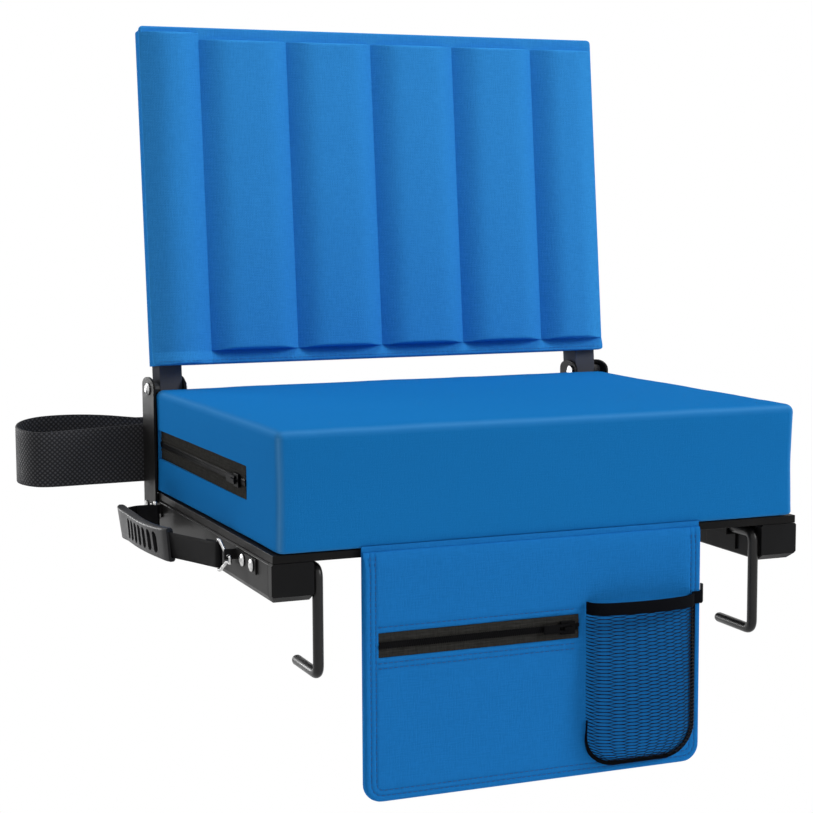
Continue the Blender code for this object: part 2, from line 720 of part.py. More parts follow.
def pad_rings(shrink):
    """Rings of the cushion from its bottom edge to its crown, with the top and sides moved in by shrink."""
    top = PAD_EDGE_HEIGHT - shrink
    rows = [(PAD_BASE_ROUND + shrink, 0.0, 0.0), (shrink, PAD_BASE_ROUND, 0.0)]
    rows.append((shrink, PAD_EDGE_HEIGHT / 2, PAD_DRAWN_IN))
    for angle in (0, 30, 60, 90):
        turn = math.radians(angle)
        inwards = shrink + PAD_EDGE_ROUND * (1 - math.cos(turn))
        rows.append((inwards, top - PAD_EDGE_ROUND * (1 - math.sin(turn)), 0.0))
    first = shrink + PAD_EDGE_ROUND
    for share in (0.15, 0.35, 0.65, 0.9):
        inwards = first + (PAD_DEPTH / 2 - first) * share
        rows.append((inwards, top + PAD_CROWN * (1 - (1 - share) ** 2), 0.0))
    rings = []
    for inwards, height, drawn in rows:
        rings.append([(x, y, pad_bottom + height) for x, y in pad_outline(inwards, drawn)])
    return rings


def skin(bm, outer, inner):
    """A shell between two stacks of rings, closed at the top of each and open at the bottom."""
    outer_verts = [[bm.verts.new(point) for point in ring] for ring in outer]
    inner_verts = [[bm.verts.new(point) for point in ring] for ring in inner]
    for verts in (outer_verts, inner_verts):
        for ring, other in zip(verts, verts[1:]):
            bridge(bm, ring, other, split=True)
        bm.faces.new(verts[-1])
    bridge(bm, outer_verts[0], inner_verts[0])


bm = bmesh.new()
skin(bm, pad_rings(0.0), pad_rings(COVER_THICK))
seat_cover = add_piece("seat_cover", bm, BLUE_CLOTH)
bm = bmesh.new()
zip_y = (side_zip_front, side_zip_front + SIDE_ZIP_LENGTH)
zip_z = (side_zip_middle - SIDE_ZIP_HEIGHT / 2, side_zip_middle + SIDE_ZIP_HEIGHT / 2)
side_skin = -(PAD_WIDTH / 2 - COVER_THICK)
box(bm, (-PAD_WIDTH / 2 - COVER_THICK, side_skin + PAD_DRAWN_IN + COVER_THICK), zip_y, zip_z)
combine(seat_cover, add_piece("side_zip_window", bm, BLUE_CLOTH), "DIFFERENCE")
bm = bmesh.new()
stack(bm, pad_rings(COVER_THICK + TOUCH), split=True)
add_piece("seat_foam", bm, FOAM)


# Zips: a tape with its coil, a slider that saddles the coil, and a pull on the slider's bail
def zip_tape(bm, length, height):
    """A tape along the first axis, from 0 to length, with the coil raised along its middle."""
    half = height / 2
    coil = COIL_WIDTH / 2
    profile = [
        (-half, 0.0), (half, 0.0), (half, ZIP_TAPE), (coil, ZIP_TAPE), (coil, ZIP_TAPE + COIL_RISE),
        (-coil, ZIP_TAPE + COIL_RISE), (-coil, ZIP_TAPE), (-half, ZIP_TAPE),
    ]
    prism(bm, profile, "x", 0.0, length)


slider_floor = ZIP_TAPE + TOUCH
slider_roof = ZIP_TAPE + COIL_RISE + TOUCH
slider_top = slider_roof + SLIDER_TOP
bail_axis = slider_top + TOUCH + PULL_THICK / 2


def zip_slider(bm):
    half = SLIDER_WIDTH / 2
    groove = COIL_WIDTH / 2 + TOUCH
    profile = [
        (-half, slider_floor), (-groove, slider_floor), (-groove, slider_roof), (groove, slider_roof),
        (groove, slider_floor), (half, slider_floor), (half, slider_top), (-half, slider_top),
    ]
    prism(bm, profile, "x", -SLIDER_LENGTH / 2, SLIDER_LENGTH / 2)


def zip_bail(bm):
    """The bridge along the slider's back, which the pull's bar passes under."""
    half = BAIL_LENGTH / 2
    low = slider_top - SLIDER_TOP / 2
    high = slider_top + BAIL_RISE
    profile = [
        (-half, low), (-half + BAIL_SHEET, low), (-half + BAIL_SHEET, high - BAIL_SHEET),
        (half - BAIL_SHEET, high - BAIL_SHEET), (half - BAIL_SHEET, low), (half, low), (half, high), (-half, high),
    ]
    prism(bm, profile, "y", -BAIL_WIDTH / 2, BAIL_WIDTH / 2)


def zip_pull(bm, direction):
    """A tab with an eye: its bar lies under the bail, on the pull's own axis."""
    low = bail_axis - PULL_THICK / 2
    high = bail_axis + PULL_THICK / 2
    bar = PULL_THICK / 2
    half = PULL_WIDTH / 2
    slot = BAIL_WIDTH / 2 + TOUCH
    outer = [(-bar, -half), (bar + PULL_LENGTH, -half), (bar + PULL_LENGTH, half), (-bar, half)]
    inner = [(bar, -slot), (bar + PULL_EYE, -slot), (bar + PULL_EYE, slot), (bar, slot)]
    rings = []
    for ring, height in ((outer, low), (outer, high), (inner, high), (inner, low)):
        rings.append([(direction * first, second, height) for first, second in ring])
    stack(bm, rings, caps=False)


def zip_matrix(place, along, across, out):
    """Takes the zip's own axes (along, across, out) to the world."""
    columns = Matrix((along, across, out)).transposed().to_4x4()
    return Matrix.Translation(place) @ columns


def add_zip(name, matrix, length, height, slider_place, pull_direction, parent=None):
    """One zip. The tape rides on parent, the slider on its own empty, and the pull on one under the bail."""
    bm = bmesh.new()
    zip_tape(bm, length, height)
    bm.transform(matrix)
    add_piece(name + "_tape", bm, ZIP_BLACK, parent)
    slide = empty(name + "_slide", matrix @ Vector((slider_place, 0.0, 0.0)), parent)
    swing = empty(name + "_swing", matrix @ Vector((slider_place, 0.0, bail_axis)), slide)
    at_slider = matrix @ Matrix.Translation((slider_place, 0.0, 0.0))
    bm = bmesh.new()
    zip_slider(bm)
    bm.transform(at_slider)
    slider = add_piece(name + "_slider", bm, BLACK_PLASTIC, slide)
    bm = bmesh.new()
    zip_bail(bm)
    bm.transform(at_slider)
    combine(slider, add_piece(name + "_bail", bm, BLACK_PLASTIC, slide), "UNION")
    bm = bmesh.new()
    zip_pull(bm, pull_direction)
    bm.transform(at_slider)
    add_piece(name + "_pull", bm, BLACK_PLASTIC, swing)



tape_inner = -(PAD_WIDTH / 2 - COVER_THICK)
side_matrix = zip_matrix(
    (tape_inner, side_zip_front + TOUCH, side_zip_middle), (0, 1, 0), (0, 0, 1), (-1, 0, 0))
add_zip("side_zip", side_matrix, SIDE_ZIP_LENGTH - 2 * TOUCH, SIDE_ZIP_HEIGHT - 2 * TOUCH,
        SIDE_SLIDER_FROM_END, 1)

# Bench hooks and the saddles that hold their arms under the board
for side_name, side in SIDES:
    axis = empty("hook_axis_" + side_name, (side * hook_x, 0.0, hook_z))
    foot_z = -HOOK_DROP + ROD_RADIUS
    corners = [
        (side * hook_x, hook_y + HOOK_ARM_LENGTH, hook_z), (side * hook_x, hook_y, hook_z),
        (side * hook_x, hook_y, foot_z), (side * hook_x, hook_y + HOOK_FOOT_LENGTH, foot_z),
    ]
    bm = bmesh.new()
    rod(bm, filleted(corners, HOOK_BEND, 5), ROD_RADIUS, (1, 0, 0), 12)
    add_piece("bench_hook_" + side_name, bm, BLACK_STEEL, axis)

    wall = rail_inner - TOUCH
    cradle = hook_x - ROD_RADIUS - TOUCH
    floor = hook_z - ROD_RADIUS - TOUCH
    lip = board_bottom - TOUCH
    saddle_outline = [
        (wall - SADDLE_SHEET, SADDLE_FOOT), (wall, SADDLE_FOOT), (wall, floor), (cradle, floor),
        (cradle, lip), (cradle - SADDLE_SHEET, lip), (cradle - SADDLE_SHEET, floor - SADDLE_SHEET),
        (wall - SADDLE_SHEET, floor - SADDLE_SHEET),
    ]
    saddle_start = hook_y + SADDLE_FROM_SHANK
    bm = bmesh.new()
    prism(bm, mirrored(saddle_outline, side), "y", saddle_start, saddle_start + SADDLE_LENGTH)
    add_piece("hook_saddle_" + side_name, bm, BLACK_STEEL)

# Back: a bent tube hoop, a lower cross tube and a board, in the leaning axes of the back's pivot
back = empty("back_axis", (0.0, pivot_y, pivot_z), turn=-RECLINE)
back_top = BACK_HEM_ABOVE_PIVOT + BACK_HEIGHT
hoop_top = back_top - HOOP_TOP_GAP
hoop_rear = UPRIGHT_DEPTH - PIVOT_FROM_FRONT
hoop_stations = []
for wall in (0.0, TUBE_WALL):
    stations = []
    for x_sign, top in ((-1, False), (-1, True), (1, True), (1, False)):
        ring = []
        for outer, y in ((True, -1), (True, 1), (False, 1), (False, -1)):
            depth = -PIVOT_FROM_FRONT + wall if y < 0 else hoop_rear - wall
            x = upright_outer - wall if outer else upright_inner + wall
            z = -UPRIGHT_TAIL
            if top:
                z = hoop_top - wall if outer else hoop_top - UPRIGHT_WIDTH + wall
            ring.append((x_sign * x, depth, z))
        stations.append(ring)
    hoop_stations.append(stations)
bm = bmesh.new()
stack(bm, hoop_stations[0] + list(reversed(hoop_stations[1])), caps=False)
back_hoop = add_piece("back_hoop", bm, BLACK_STEEL, back, local=True)

board_front = -PIVOT_FROM_FRONT - TOUCH - BACK_BOARD_THICK
board_back = board_front + BACK_BOARD_THICK
bar_front = -PIVOT_FROM_FRONT
bar_reach = upright_inner - TOUCH
lower_bar = BACK_HEM_ABOVE_PIVOT + HEM_BAND + BACK_BAR_INSET
bar_outline = [
    (bar_front, lower_bar - BACK_BAR / 2), (bar_front + BACK_BAR, lower_bar - BACK_BAR / 2),
    (bar_front + BACK_BAR, lower_bar + BACK_BAR / 2), (bar_front, lower_bar + BACK_BAR / 2),
]
bm = bmesh.new()
hollow_prism(bm, bar_outline, TUBE_WALL, "x", -bar_reach, bar_reach)
back_lower_tube = add_piece("back_lower_tube", bm, BLACK_STEEL, back, local=True)
bm = bmesh.new()
board_half = upright_outer - BACK_BOARD_MARGIN
box(bm, (-board_half, board_half), (board_front, board_back),
    (BACK_HEM_ABOVE_PIVOT + BACK_BOARD_MARGIN, hoop_top - BACK_BOARD_MARGIN / 2))
back_board = add_piece("back_board", bm, BLACK_BOARD, back, local=True)

rivet_hole = RIVET_RADIUS + TOUCH
head_hole = RIVET_HEAD_RADIUS + TOUCH
bore_ends = (board_front - TUBE_WALL, bar_front + 2 * TUBE_WALL)
board_bores = bmesh.new()
hoop_bores = bmesh.new()
tube_bores = bmesh.new()
pivot_bore = PIVOT_RADIUS + PIVOT_CLEARANCE
for side_name, side in SIDES:
    left_x, right_x = span(upright_inner, upright_outer, side)
    turned(hoop_bores, [(pivot_bore, left_x - PLATE), (pivot_bore, right_x + PLATE)], "x", (0.0, 0.0))
    for bar_name, middle, bores in (
        ("top", hoop_top - UPRIGHT_WIDTH / 2, hoop_bores), ("lower", lower_bar, tube_bores)):
        centre = (side * bar_reach * BACK_RIVET_REACH, middle)
        turned(bores, [(rivet_hole, bore_ends[0]), (rivet_hole, bore_ends[1])], "y", centre)
        sunk = board_front + BACK_RIVET_HEAD_THICK
        turned(board_bores, [
            (head_hole, bore_ends[0]), (head_hole, sunk + TOUCH), (rivet_hole, sunk + TOUCH), (rivet_hole, bore_ends[1]),
        ], "y", centre)
        tail_face = bar_front + TUBE_WALL + TOUCH
        bm = bmesh.new()
        turned(bm, [
            (RIVET_HEAD_RADIUS, board_front), (RIVET_HEAD_RADIUS, sunk), (RIVET_RADIUS, sunk),
            (RIVET_RADIUS, tail_face), (RIVET_TAIL_RADIUS, tail_face),
            (RIVET_TAIL_RADIUS, tail_face + RIVET_TAIL_THICK),
        ], "y", centre)
        add_piece("back_rivet_" + bar_name + "_" + side_name, bm, BRIGHT_STEEL, back, local=True)
for target, bores in ((back_hoop, hoop_bores), (back_lower_tube, tube_bores), (back_board, board_bores)):
    combine(target, add_piece(target.name + "_bores", bores, BLACK_STEEL, back, local=True), "DIFFERENCE")

# Back cover: a sleeve over the frame's rear and sides, and the quilted panel sewn to its front edge
quilt_back = board_front - TOUCH
sleeve_inner = upright_outer + TOUCH
sleeve_outer = sleeve_inner + BACK_COVER_THICK
sleeve_rear = upright_behind + TOUCH + BACK_COVER_THICK
sleeve_front = quilt_back + TOUCH
bm = bmesh.new()
inner_top = back_top - BACK_COVER_THICK
rear_inside = sleeve_rear - BACK_COVER_THICK
hem = BACK_HEM_ABOVE_PIVOT
sleeve_round = 1.2 * BACK_COVER_THICK
outer_plan = [(sleeve_outer, sleeve_front)]
outer_plan += arc((sleeve_outer - sleeve_round, sleeve_rear - sleeve_round), (sleeve_round, sleeve_round), 0, 90, 4)
outer_plan += arc((sleeve_round - sleeve_outer, sleeve_rear - sleeve_round), (sleeve_round, sleeve_round), 90, 180, 4)
outer_plan += [(-sleeve_outer, sleeve_front)]
inner_round = sleeve_round - BACK_COVER_THICK
inner_plan = [(sleeve_inner, sleeve_front)]
inner_plan += arc((sleeve_inner - inner_round, rear_inside - inner_round), (inner_round, inner_round), 0, 90, 4)
inner_plan += arc((inner_round - sleeve_inner, rear_inside - inner_round), (inner_round, inner_round), 90, 180, 4)
inner_plan += [(-sleeve_inner, sleeve_front)]
sleeve_levels = {}
for level_name, plan, height in (
    ("outer_low", outer_plan, hem), ("outer_high", outer_plan, back_top),
    ("inner_low", inner_plan, hem), ("inner_high", inner_plan, inner_top),
):
    sleeve_levels[level_name] = [bm.verts.new((x, y, height)) for x, y in plan]
for low, high in (("outer_low", "outer_high"), ("inner_low", "inner_high"), ("outer_low", "inner_low")):
    first = sleeve_levels[low]
    second = sleeve_levels[high]
    for i in range(len(first) - 1):
        bm.faces.new((first[i], first[i + 1], second[i + 1], second[i]))
bm.faces.new(sleeve_levels["outer_high"])
bm.faces.new(sleeve_levels["inner_high"])
front_edge = []
for level_name, end in (
    ("outer_low", 0), ("outer_high", 0), ("outer_high", -1), ("outer_low", -1),
    ("inner_low", -1), ("inner_high", -1), ("inner_high", 0), ("inner_low", 0),
):
    front_edge.append(sleeve_levels[level_name][end])
bm.faces.new(front_edge)
add_piece("back_cover", bm, BLUE_CLOTH, back, local=True)

quilt_half = sleeve_outer + QUILT_OVERHANG
seams = [CHANNEL_OFFSET + (k - CHANNELS / 2) * CHANNEL_PITCH for k in range(1, CHANNELS)]
edges = [-quilt_half] + seams + [quilt_half]


def rise(share):
    """How full a channel is, from 0 at its edge to 1 once share reaches 1."""
    return (1 - (1 - min(share, 1.0)) ** 2) ** 0.6


columns = []
for low, high in zip(edges, edges[1:]):
    for k in range(CHANNEL_STEPS):
        share = k / CHANNEL_STEPS
        columns.append((low + (high - low) * share, rise(2 * min(share, 1 - share))))
columns.append((quilt_half, 0.0))
channel_low = hem + HEM_BAND
channel_high = back_top - TOP_BORDER
rows = [(hem, 0.0), (hem + HEM_BAND / 2, 0.0)]
for share in (0.0, 0.12, 0.35, 0.7, 1.0):
    rows.append((channel_low + CHANNEL_TAPER * share, rise(share)))
rows.append(((channel_low + channel_high) / 2, 1.0))
for share in (1.0, 0.7, 0.35, 0.12, 0.0):
    rows.append((channel_high - CHANNEL_TAPER * share, rise(share)))
rows += [(back_top - TOP_BORDER / 2, 0.0), (back_top, 0.0)]
bm = bmesh.new()
grid = []
for height, fullness in rows:
    line = []
    for x, crest in columns:
        thick = SEAM_THICK + (CREST_THICK - SEAM_THICK) * crest * fullness
        line.append(bm.verts.new((x, quilt_back - thick, height)))
    grid.append(line)
for line, other in zip(grid, grid[1:]):
    for i in range(len(line) - 1):
        bm.faces.new((line[i], line[i + 1], other[i + 1], other[i]))
border = grid[0] + [line[-1] for line in grid[1:-1]]
border += list(reversed(grid[-1])) + [line[0] for line in reversed(grid[1:-1])]
behind = [bm.verts.new((vert.co.x, quilt_back, vert.co.z)) for vert in border]
bridge(bm, border, behind)
bm.faces.new(behind)
add_piece("back_quilt", bm, BLUE_CLOTH, back, local=True)

# Front pouch: a back panel on its seam line under the cushion, and a shallow front panel with its zip
pouch = empty("pouch_axis", (0.0, pouch_axis_y, pouch_axis_z))


def pouch_outline(top):
    """The flap's outline from its upper left corner, anticlockwise seen from the front."""
    round_radii = (POUCH_CORNER, POUCH_CORNER)
    outline = [(pouch_left, top)]
    outline += arc((pouch_left + POUCH_CORNER, pouch_bottom + POUCH_CORNER), round_radii, 180, 270, 5)
    outline += arc((pouch_right - POUCH_CORNER, pouch_bottom + POUCH_CORNER), round_radii, 270, 360, 5)
    outline += [(pouch_right, top)]
    return outline


panel_rear = pouch_axis_y + POUCH_CLOTH / 2
panel_front = pouch_axis_y - POUCH_CLOTH / 2
bm = bmesh.new()
prism(bm, pouch_outline(pouch_axis_z), "y", panel_front, panel_rear)
add_piece("pouch_back_panel", bm, BLUE_CLOTH, pouch)

rim = panel_front - TOUCH
face = rim - POUCH_FRONT_DEPTH
front_outline = pouch_outline(pouch_axis_z - POUCH_FRONT_TOP)
outer_rings = []
for inwards, height in ((0.0, rim), (0.0, face + POUCH_CLOTH), (POUCH_CLOTH, face)):
    outer_rings.append([on_axis("y", x, z, height) for x, z in inset(front_outline, inwards)])
inner_rings = []
for inwards, height in ((POUCH_CLOTH, rim), (POUCH_CLOTH, face + 2 * POUCH_CLOTH), (2 * POUCH_CLOTH, face + POUCH_CLOTH)):
    inner_rings.append([on_axis("y", x, z, height) for x, z in inset(front_outline, inwards)])
bm = bmesh.new()
skin(bm, outer_rings, inner_rings)
pouch_front_panel = add_piece("pouch_front_panel", bm, BLUE_CLOTH, pouch)
pouch_zip_left = pouch_left + POUCH_ZIP_MARGIN
pouch_zip_middle = pad_bottom - POUCH_ZIP_DROP - POUCH_ZIP_HEIGHT / 2
bm = bmesh.new()
box(bm, (pouch_zip_left, pouch_zip_left + pouch_zip_length), (face - POUCH_CLOTH, face + 1.6 * POUCH_CLOTH),
    (pouch_zip_middle - POUCH_ZIP_HEIGHT / 2, pouch_zip_middle + POUCH_ZIP_HEIGHT / 2))
combine(pouch_front_panel, add_piece("pouch_zip_window", bm, BLUE_CLOTH, pouch), "DIFFERENCE")
pouch_zip_matrix = zip_matrix(
    (pouch_zip_left + TOUCH, face + POUCH_CLOTH, pouch_zip_middle), (1, 0, 0), (0, 0, 1), (0, -1, 0))
add_zip("pouch_zip", pouch_zip_matrix, pouch_zip_length - 2 * TOUCH, POUCH_ZIP_HEIGHT - 2 * TOUCH,
        pouch_zip_length - 2 * TOUCH - SLIDER_FROM_END, -1, pouch)

# Mesh bottle pocket on the pouch: net, top band and edge binding
net_base = face - TOUCH
pocket_right = pouch_right - POCKET_EDGE_GAP
pocket_left = pocket_right - POCKET_WIDTH
pocket_top = pad_bottom - POCKET_DROP
band_bottom = pocket_top - POCKET_BAND
net_top = band_bottom - TOUCH
net_middle = (pocket_left + pocket_right) / 2
net_half = POCKET_WIDTH / 2 - BINDING_WIDTH - TOUCH
binding_floor = pouch_bottom + POCKET_FLOOR_GAP
net_floor = binding_floor + BINDING_WIDTH + TOUCH
net_height = net_top - net_floor


def net_rows(thick):
    """Rows of the net's surface, top to bottom: the inner face where thick is 0."""
    half = net_half - POCKET_CLOTH + thick
    corner = POCKET_CORNER - POCKET_CLOTH + thick
    floor = net_floor + POCKET_CLOTH - thick
    surface = []
    for drop in (0.0, 0.2, 0.4, 0.6, 0.74, 0.83, 0.89, 0.94, 0.975, 0.993, 1.0):
        height = net_top + (floor - net_top) * drop
        above = height - floor
        reach = half
        if above < corner:
            reach = half - corner + math.sqrt(max(corner ** 2 - (corner - above) ** 2, 0.0))
        swell = POCKET_BULGE_TOP + (POCKET_BULGE - POCKET_BULGE_TOP) * min(drop / 0.6, 1.0) + thick
        if above < POCKET_FOOT:
            swell *= math.sqrt(max(1 - (1 - above / POCKET_FOOT) ** 2, 0.0))
        line = []
        for k in range(NET_STEPS + 1):
            angle = math.pi * k / NET_STEPS
            depth = swell * math.sin(angle) ** 0.7
            line.append((net_middle - reach * math.cos(angle), net_base - depth, height))
        surface.append(line)
    return surface


bm = bmesh.new()
surfaces = []
for thick in (0.0, POCKET_CLOTH):
    surfaces.append([[bm.verts.new(point) for point in line] for line in net_rows(thick)])
for surface in surfaces:
    for line, other in zip(surface, surface[1:]):
        for i in range(NET_STEPS):
            bm.faces.new((line[i], line[i + 1], other[i + 1], other[i]))
loops = []
for surface in surfaces:
    loop = surface[0] + [line[-1] for line in surface[1:-1]]
    loop += list(reversed(surface[-1])) + [line[0] for line in reversed(surface[1:-1])]
    loops.append(loop)
bridge(bm, loops[0], loops[1])
add_piece("mesh_pocket", bm, BLACK_NET, pouch)

# The band follows the net's top edge, and its right end wraps round the edge of the flap
top_lines = [net_rows(thick)[0] for thick in (0.0, POCKET_CLOTH)]
inner_edge = [(x, y) for x, y, z in top_lines[0]]
outer_edge = [(x, y) for x, y, z in top_lines[1]]
wrap = pouch_right + TOUCH
inner_edge += [(wrap, net_base), (wrap, panel_rear)]
outer_edge = outer_edge[:-1] + [(outer_edge[-1][0], net_base - POCKET_CLOTH)]
outer_edge += [(wrap + POCKET_CLOTH, net_base - POCKET_CLOTH), (wrap + POCKET_CLOTH, panel_rear)]
bm = bmesh.new()
levels = []
for height in (band_bottom, pocket_top):
    levels.append([[bm.verts.new((x, y, height)) for x, y in edge] for edge in (inner_edge, outer_edge)])
count = len(inner_edge)
for level in levels:
    for i in range(count - 1):
        bm.faces.new((level[0][i], level[0][i + 1], level[1][i + 1], level[1][i]))
for edge in (0, 1):
    for i in range(count - 1):
        bm.faces.new((levels[0][edge][i], levels[0][edge][i + 1], levels[1][edge][i + 1], levels[1][edge][i]))
for end in (0, -1):
    bm.faces.new((levels[0][0][end], levels[0][1][end], levels[1][1][end], levels[1][0][end]))
add_piece("mesh_pocket_band", bm, BLACK_WEBBING, pouch)

turn_radius = POCKET_CORNER + TOUCH + BINDING_WIDTH / 2
turn_height = net_floor + POCKET_CORNER
binding_path = [(net_middle - net_half - TOUCH - BINDING_WIDTH / 2, net_top)]
turn_left = net_middle - net_half + POCKET_CORNER
turn_right = net_middle + net_half - POCKET_CORNER
binding_path += arc((turn_left, turn_height), (turn_radius, turn_radius), 180, 270, 8)
binding_path += arc((turn_right, turn_height), (turn_radius, turn_radius), 270, 360, 8)
binding_path += [(net_middle + net_half + TOUCH + BINDING_WIDTH / 2, net_top)]
binding_points = [Vector((x, 0.0, z)) for x, z in binding_path]
rings = []
for point, along in zip(binding_points, tangents(binding_points, closed=False)):
    side_step = Vector((-along.z, 0.0, along.x)) * BINDING_WIDTH / 2
    corners = []
    for offset, height in (
        (side_step, net_base), (side_step, net_base - BINDING_THICK),
        (-side_step, net_base - BINDING_THICK), (-side_step, net_base),
    ):
        corners.append((point.x + offset.x, height, point.z + offset.z))
    rings.append(corners)
bm = bmesh.new()
stack(bm, rings)
add_piece("mesh_binding", bm, BLACK_WEBBING, pouch)

# Carry handle: clips on the left rail, wire rings in the clips, webbing through a slotted grip
clip_face = -(rail_outer + TOUCH)
clip_outer = clip_face - CLIP_SHEET
clip_low = HANDLE_AXIS_HEIGHT - CLIP_HEIGHT / 2
clip_high = HANDLE_AXIS_HEIGHT + CLIP_HEIGHT / 2
front_ear_y = front_clip_end - CLIP_SHEET
rear_ear_y = rear_clip_start + CLIP_SHEET
rivet_stretch = (clip_face - 2 * CLIP_SHEET, clip_face + CLIP_SHEET)
for end_name, start, end, ear_y, places, head in (
    ("front", front_clip_start, front_clip_end, front_ear_y, front_clip_rivets, CLIP_RIVET_HEAD),
    ("rear", rear_clip_start, rear_clip_end, rear_ear_y, [rear_clip_rivet], REAR_CLIP_RIVET_HEAD),
):
    bm = bmesh.new()
    box(bm, (clip_outer, clip_face), (start, end), (clip_low, clip_high))
    clip = add_piece("ring_clip_" + end_name, bm, BLACK_STEEL)
    bm = bmesh.new()
    box(bm, (handle_x - CLIP_EAR_OUT, clip_face - CLIP_SHEET / 2), (ear_y - CLIP_SHEET / 2, ear_y + CLIP_SHEET / 2),
        (HANDLE_AXIS_HEIGHT - CLIP_EAR_BELOW_AXIS, clip_high - TOUCH))
    combine(clip, add_piece("ring_clip_ear_" + end_name, bm, BLACK_STEEL), "UNION")
    ear_stretch = (ear_y - 2 * CLIP_SHEET, ear_y + 2 * CLIP_SHEET)
    bores = [("y", (handle_x, HANDLE_AXIS_HEIGHT), *ear_stretch, RING_WIRE + TOUCH)]
    for number, place in enumerate(places, 1):
        bores.append(("x", (place, HANDLE_AXIS_HEIGHT), *rivet_stretch, RIVET_RADIUS + TOUCH))
        profile = rivet_profile(
            clip_outer - TOUCH, RIVET_HEAD_THICK, -(rail_outer - TUBE_WALL - TOUCH), -1,
            head, RIVET_RADIUS, RIVET_TAIL_RADIUS)
        bm = bmesh.new()
        turned(bm, profile, "x", (place, HANDLE_AXIS_HEIGHT))
        add_piece("clip_rivet_" + end_name + "_" + str(number), bm, BRIGHT_STEEL)
    add_holes(clip, bores)

handle = empty("handle_axis", (handle_x, 0.0, HANDLE_AXIS_HEIGHT))
bar_x = handle_x - RING_BAR_OUT
bars = []
for end_name, ear_y, direction in (("front", front_ear_y, 1), ("rear", rear_ear_y, -1)):
    near = ear_y + direction * RING_TURN
    far = ear_y - direction * RING_TURN
    bar_y = ear_y + direction * RING_REACH
    bars.append(Vector((bar_x, bar_y, 0.0)))
    turn_y = bar_y - direction * RING_STRAIGHT
    leg = HANDLE_AXIS_HEIGHT - RING_LEG_DROP
    bar_top = HANDLE_AXIS_HEIGHT + RING_BAR_RISE
    bar_low = HANDLE_AXIS_HEIGHT - RING_BAR_DROP
    corners = [
        (handle_x, far, HANDLE_AXIS_HEIGHT), (handle_x, near, HANDLE_AXIS_HEIGHT),
        (bar_x, turn_y, bar_top), (bar_x, bar_y, bar_top), (bar_x, bar_y, bar_low), (bar_x, turn_y, bar_low),
        (handle_x, near, leg), (handle_x, far, leg),
    ]
    bm = bmesh.new()
    rod(bm, filleted(corners, 1.5 * RING_WIRE, 3, closed=True), RING_WIRE, (1, 0, 0), 8, closed=True)
    add_piece("handle_ring_" + end_name, bm, BRIGHT_STEEL, handle)

webbing_middle = HANDLE_AXIS_HEIGHT + (RING_BAR_RISE - RING_BAR_DROP) / 2
grip_middle = (bars[0].y + bars[1].y) / 2 + GRIP_SHIFT
grip_points = []
for share in (-1.0, -0.5, 0.0, 0.5, 1.0):
    out = GRIP_OUT - GRIP_SAG * share ** 2
    grip_points.append(Vector((handle_x - out, grip_middle + share * GRIP_LENGTH / 2, 0.0)))
loop_radius = RING_WIRE + TOUCH + WEBBING / 2


def bar_loop(bar, toward, out_sign):
    """The webbing's turn about a ring's bar: its tail, then the turn, ending on the main run."""
    along = (toward - bar).normalized()
    out = Vector((-along.y, along.x, 0.0)) * out_sign
    points = [bar + along * WEBBING_TAIL - out * loop_radius * 0.9]
    for angle in range(0, 181, 30):
        turn = math.radians(angle)
        points.append(bar - out * loop_radius * math.cos(turn) - along * loop_radius * math.sin(turn))
    return points


front_loop = bar_loop(bars[0], grip_points[0], 1)
rear_bend = (grip_points[-1] + bars[1]) / 2 + Vector((-0.18, 0.5, 0.0)) * (bars[1].x - grip_points[-1].x) * 0.55
rear_loop = bar_loop(bars[1], rear_bend, -1)
front_run = front_loop[-1].lerp(grip_points[0], 0.5)
main_run = smooth_path([front_loop[-1], front_run] + grip_points + [rear_bend, rear_loop[-1]], 4)
webbing_path = front_loop[:-1] + main_run + list(reversed(rear_loop[:-1]))
bm = bmesh.new()
band(bm, webbing_path, WEBBING, webbing_middle - WEBBING_WIDTH / 2, webbing_middle + WEBBING_WIDTH / 2)
add_piece("handle_webbing", bm, BLACK_WEBBING, handle)

grip_path = main_run[8:25]
grip_ways = tangents(grip_path, closed=False)
outer_stations = []
inner_stations = []
channel_half = (WEBBING / 2 + TOUCH, WEBBING_WIDTH / 2 + TOUCH)
for i, (point, along) in enumerate(zip(grip_path, grip_ways)):
    out = Vector((-along.y, along.x, 0.0))
    share = abs(2 * i / (len(grip_path) - 1) - 1)
    half = (GRIP_THICK / 2, GRIP_HEIGHT / 2 + GRIP_FLARE * share ** 3)
    for stations, reach, radius in (
        (outer_stations, half, GRIP_THICK * 0.3), (inner_stations, channel_half, WEBBING * 0.1)):
        ring = []
        for across, up in rounded_rectangle((-reach[0], -reach[1]), reach, radius, 2):
            place = point + out * across
            ring.append((place.x, place.y, webbing_middle + up))
        stations.append(ring)
bm = bmesh.new()
stack(bm, outer_stations + list(reversed(inner_stations)), caps=False)
handle_grip = add_piece("handle_grip", bm, BLACK_PLASTIC, handle)
bm = bmesh.new()
grip_centre = grip_path[len(grip_path) // 2]
lean = math.tan(GRIP_SLOT_LEAN)
for k in range(GRIP_SLOTS):
    shift = (k - (GRIP_SLOTS - 1) / 2) * GRIP_SLOT_PITCH
    nearest = min(range(len(grip_path)), key=lambda i: abs(grip_path[i].y - grip_centre.y - shift))
    along = grip_ways[nearest]
    out = Vector((-along.y, along.x, 0.0))
    at = grip_path[nearest] + along * (shift - (grip_path[nearest].y - grip_centre.y)) / along.y
    rings = []
    for depth in (0.0, GRIP_THICK):
        ring = []
        for across, up in ((-1, -1), (1, -1), (1, 1), (-1, 1)):
            height = up * GRIP_SLOT_HEIGHT / 2
            place = at + out * depth + along * (across * GRIP_SLOT_WIDTH / 2 + height * lean)
            ring.append((place.x, place.y, webbing_middle + height))
        rings.append(ring)
    stack(bm, rings)
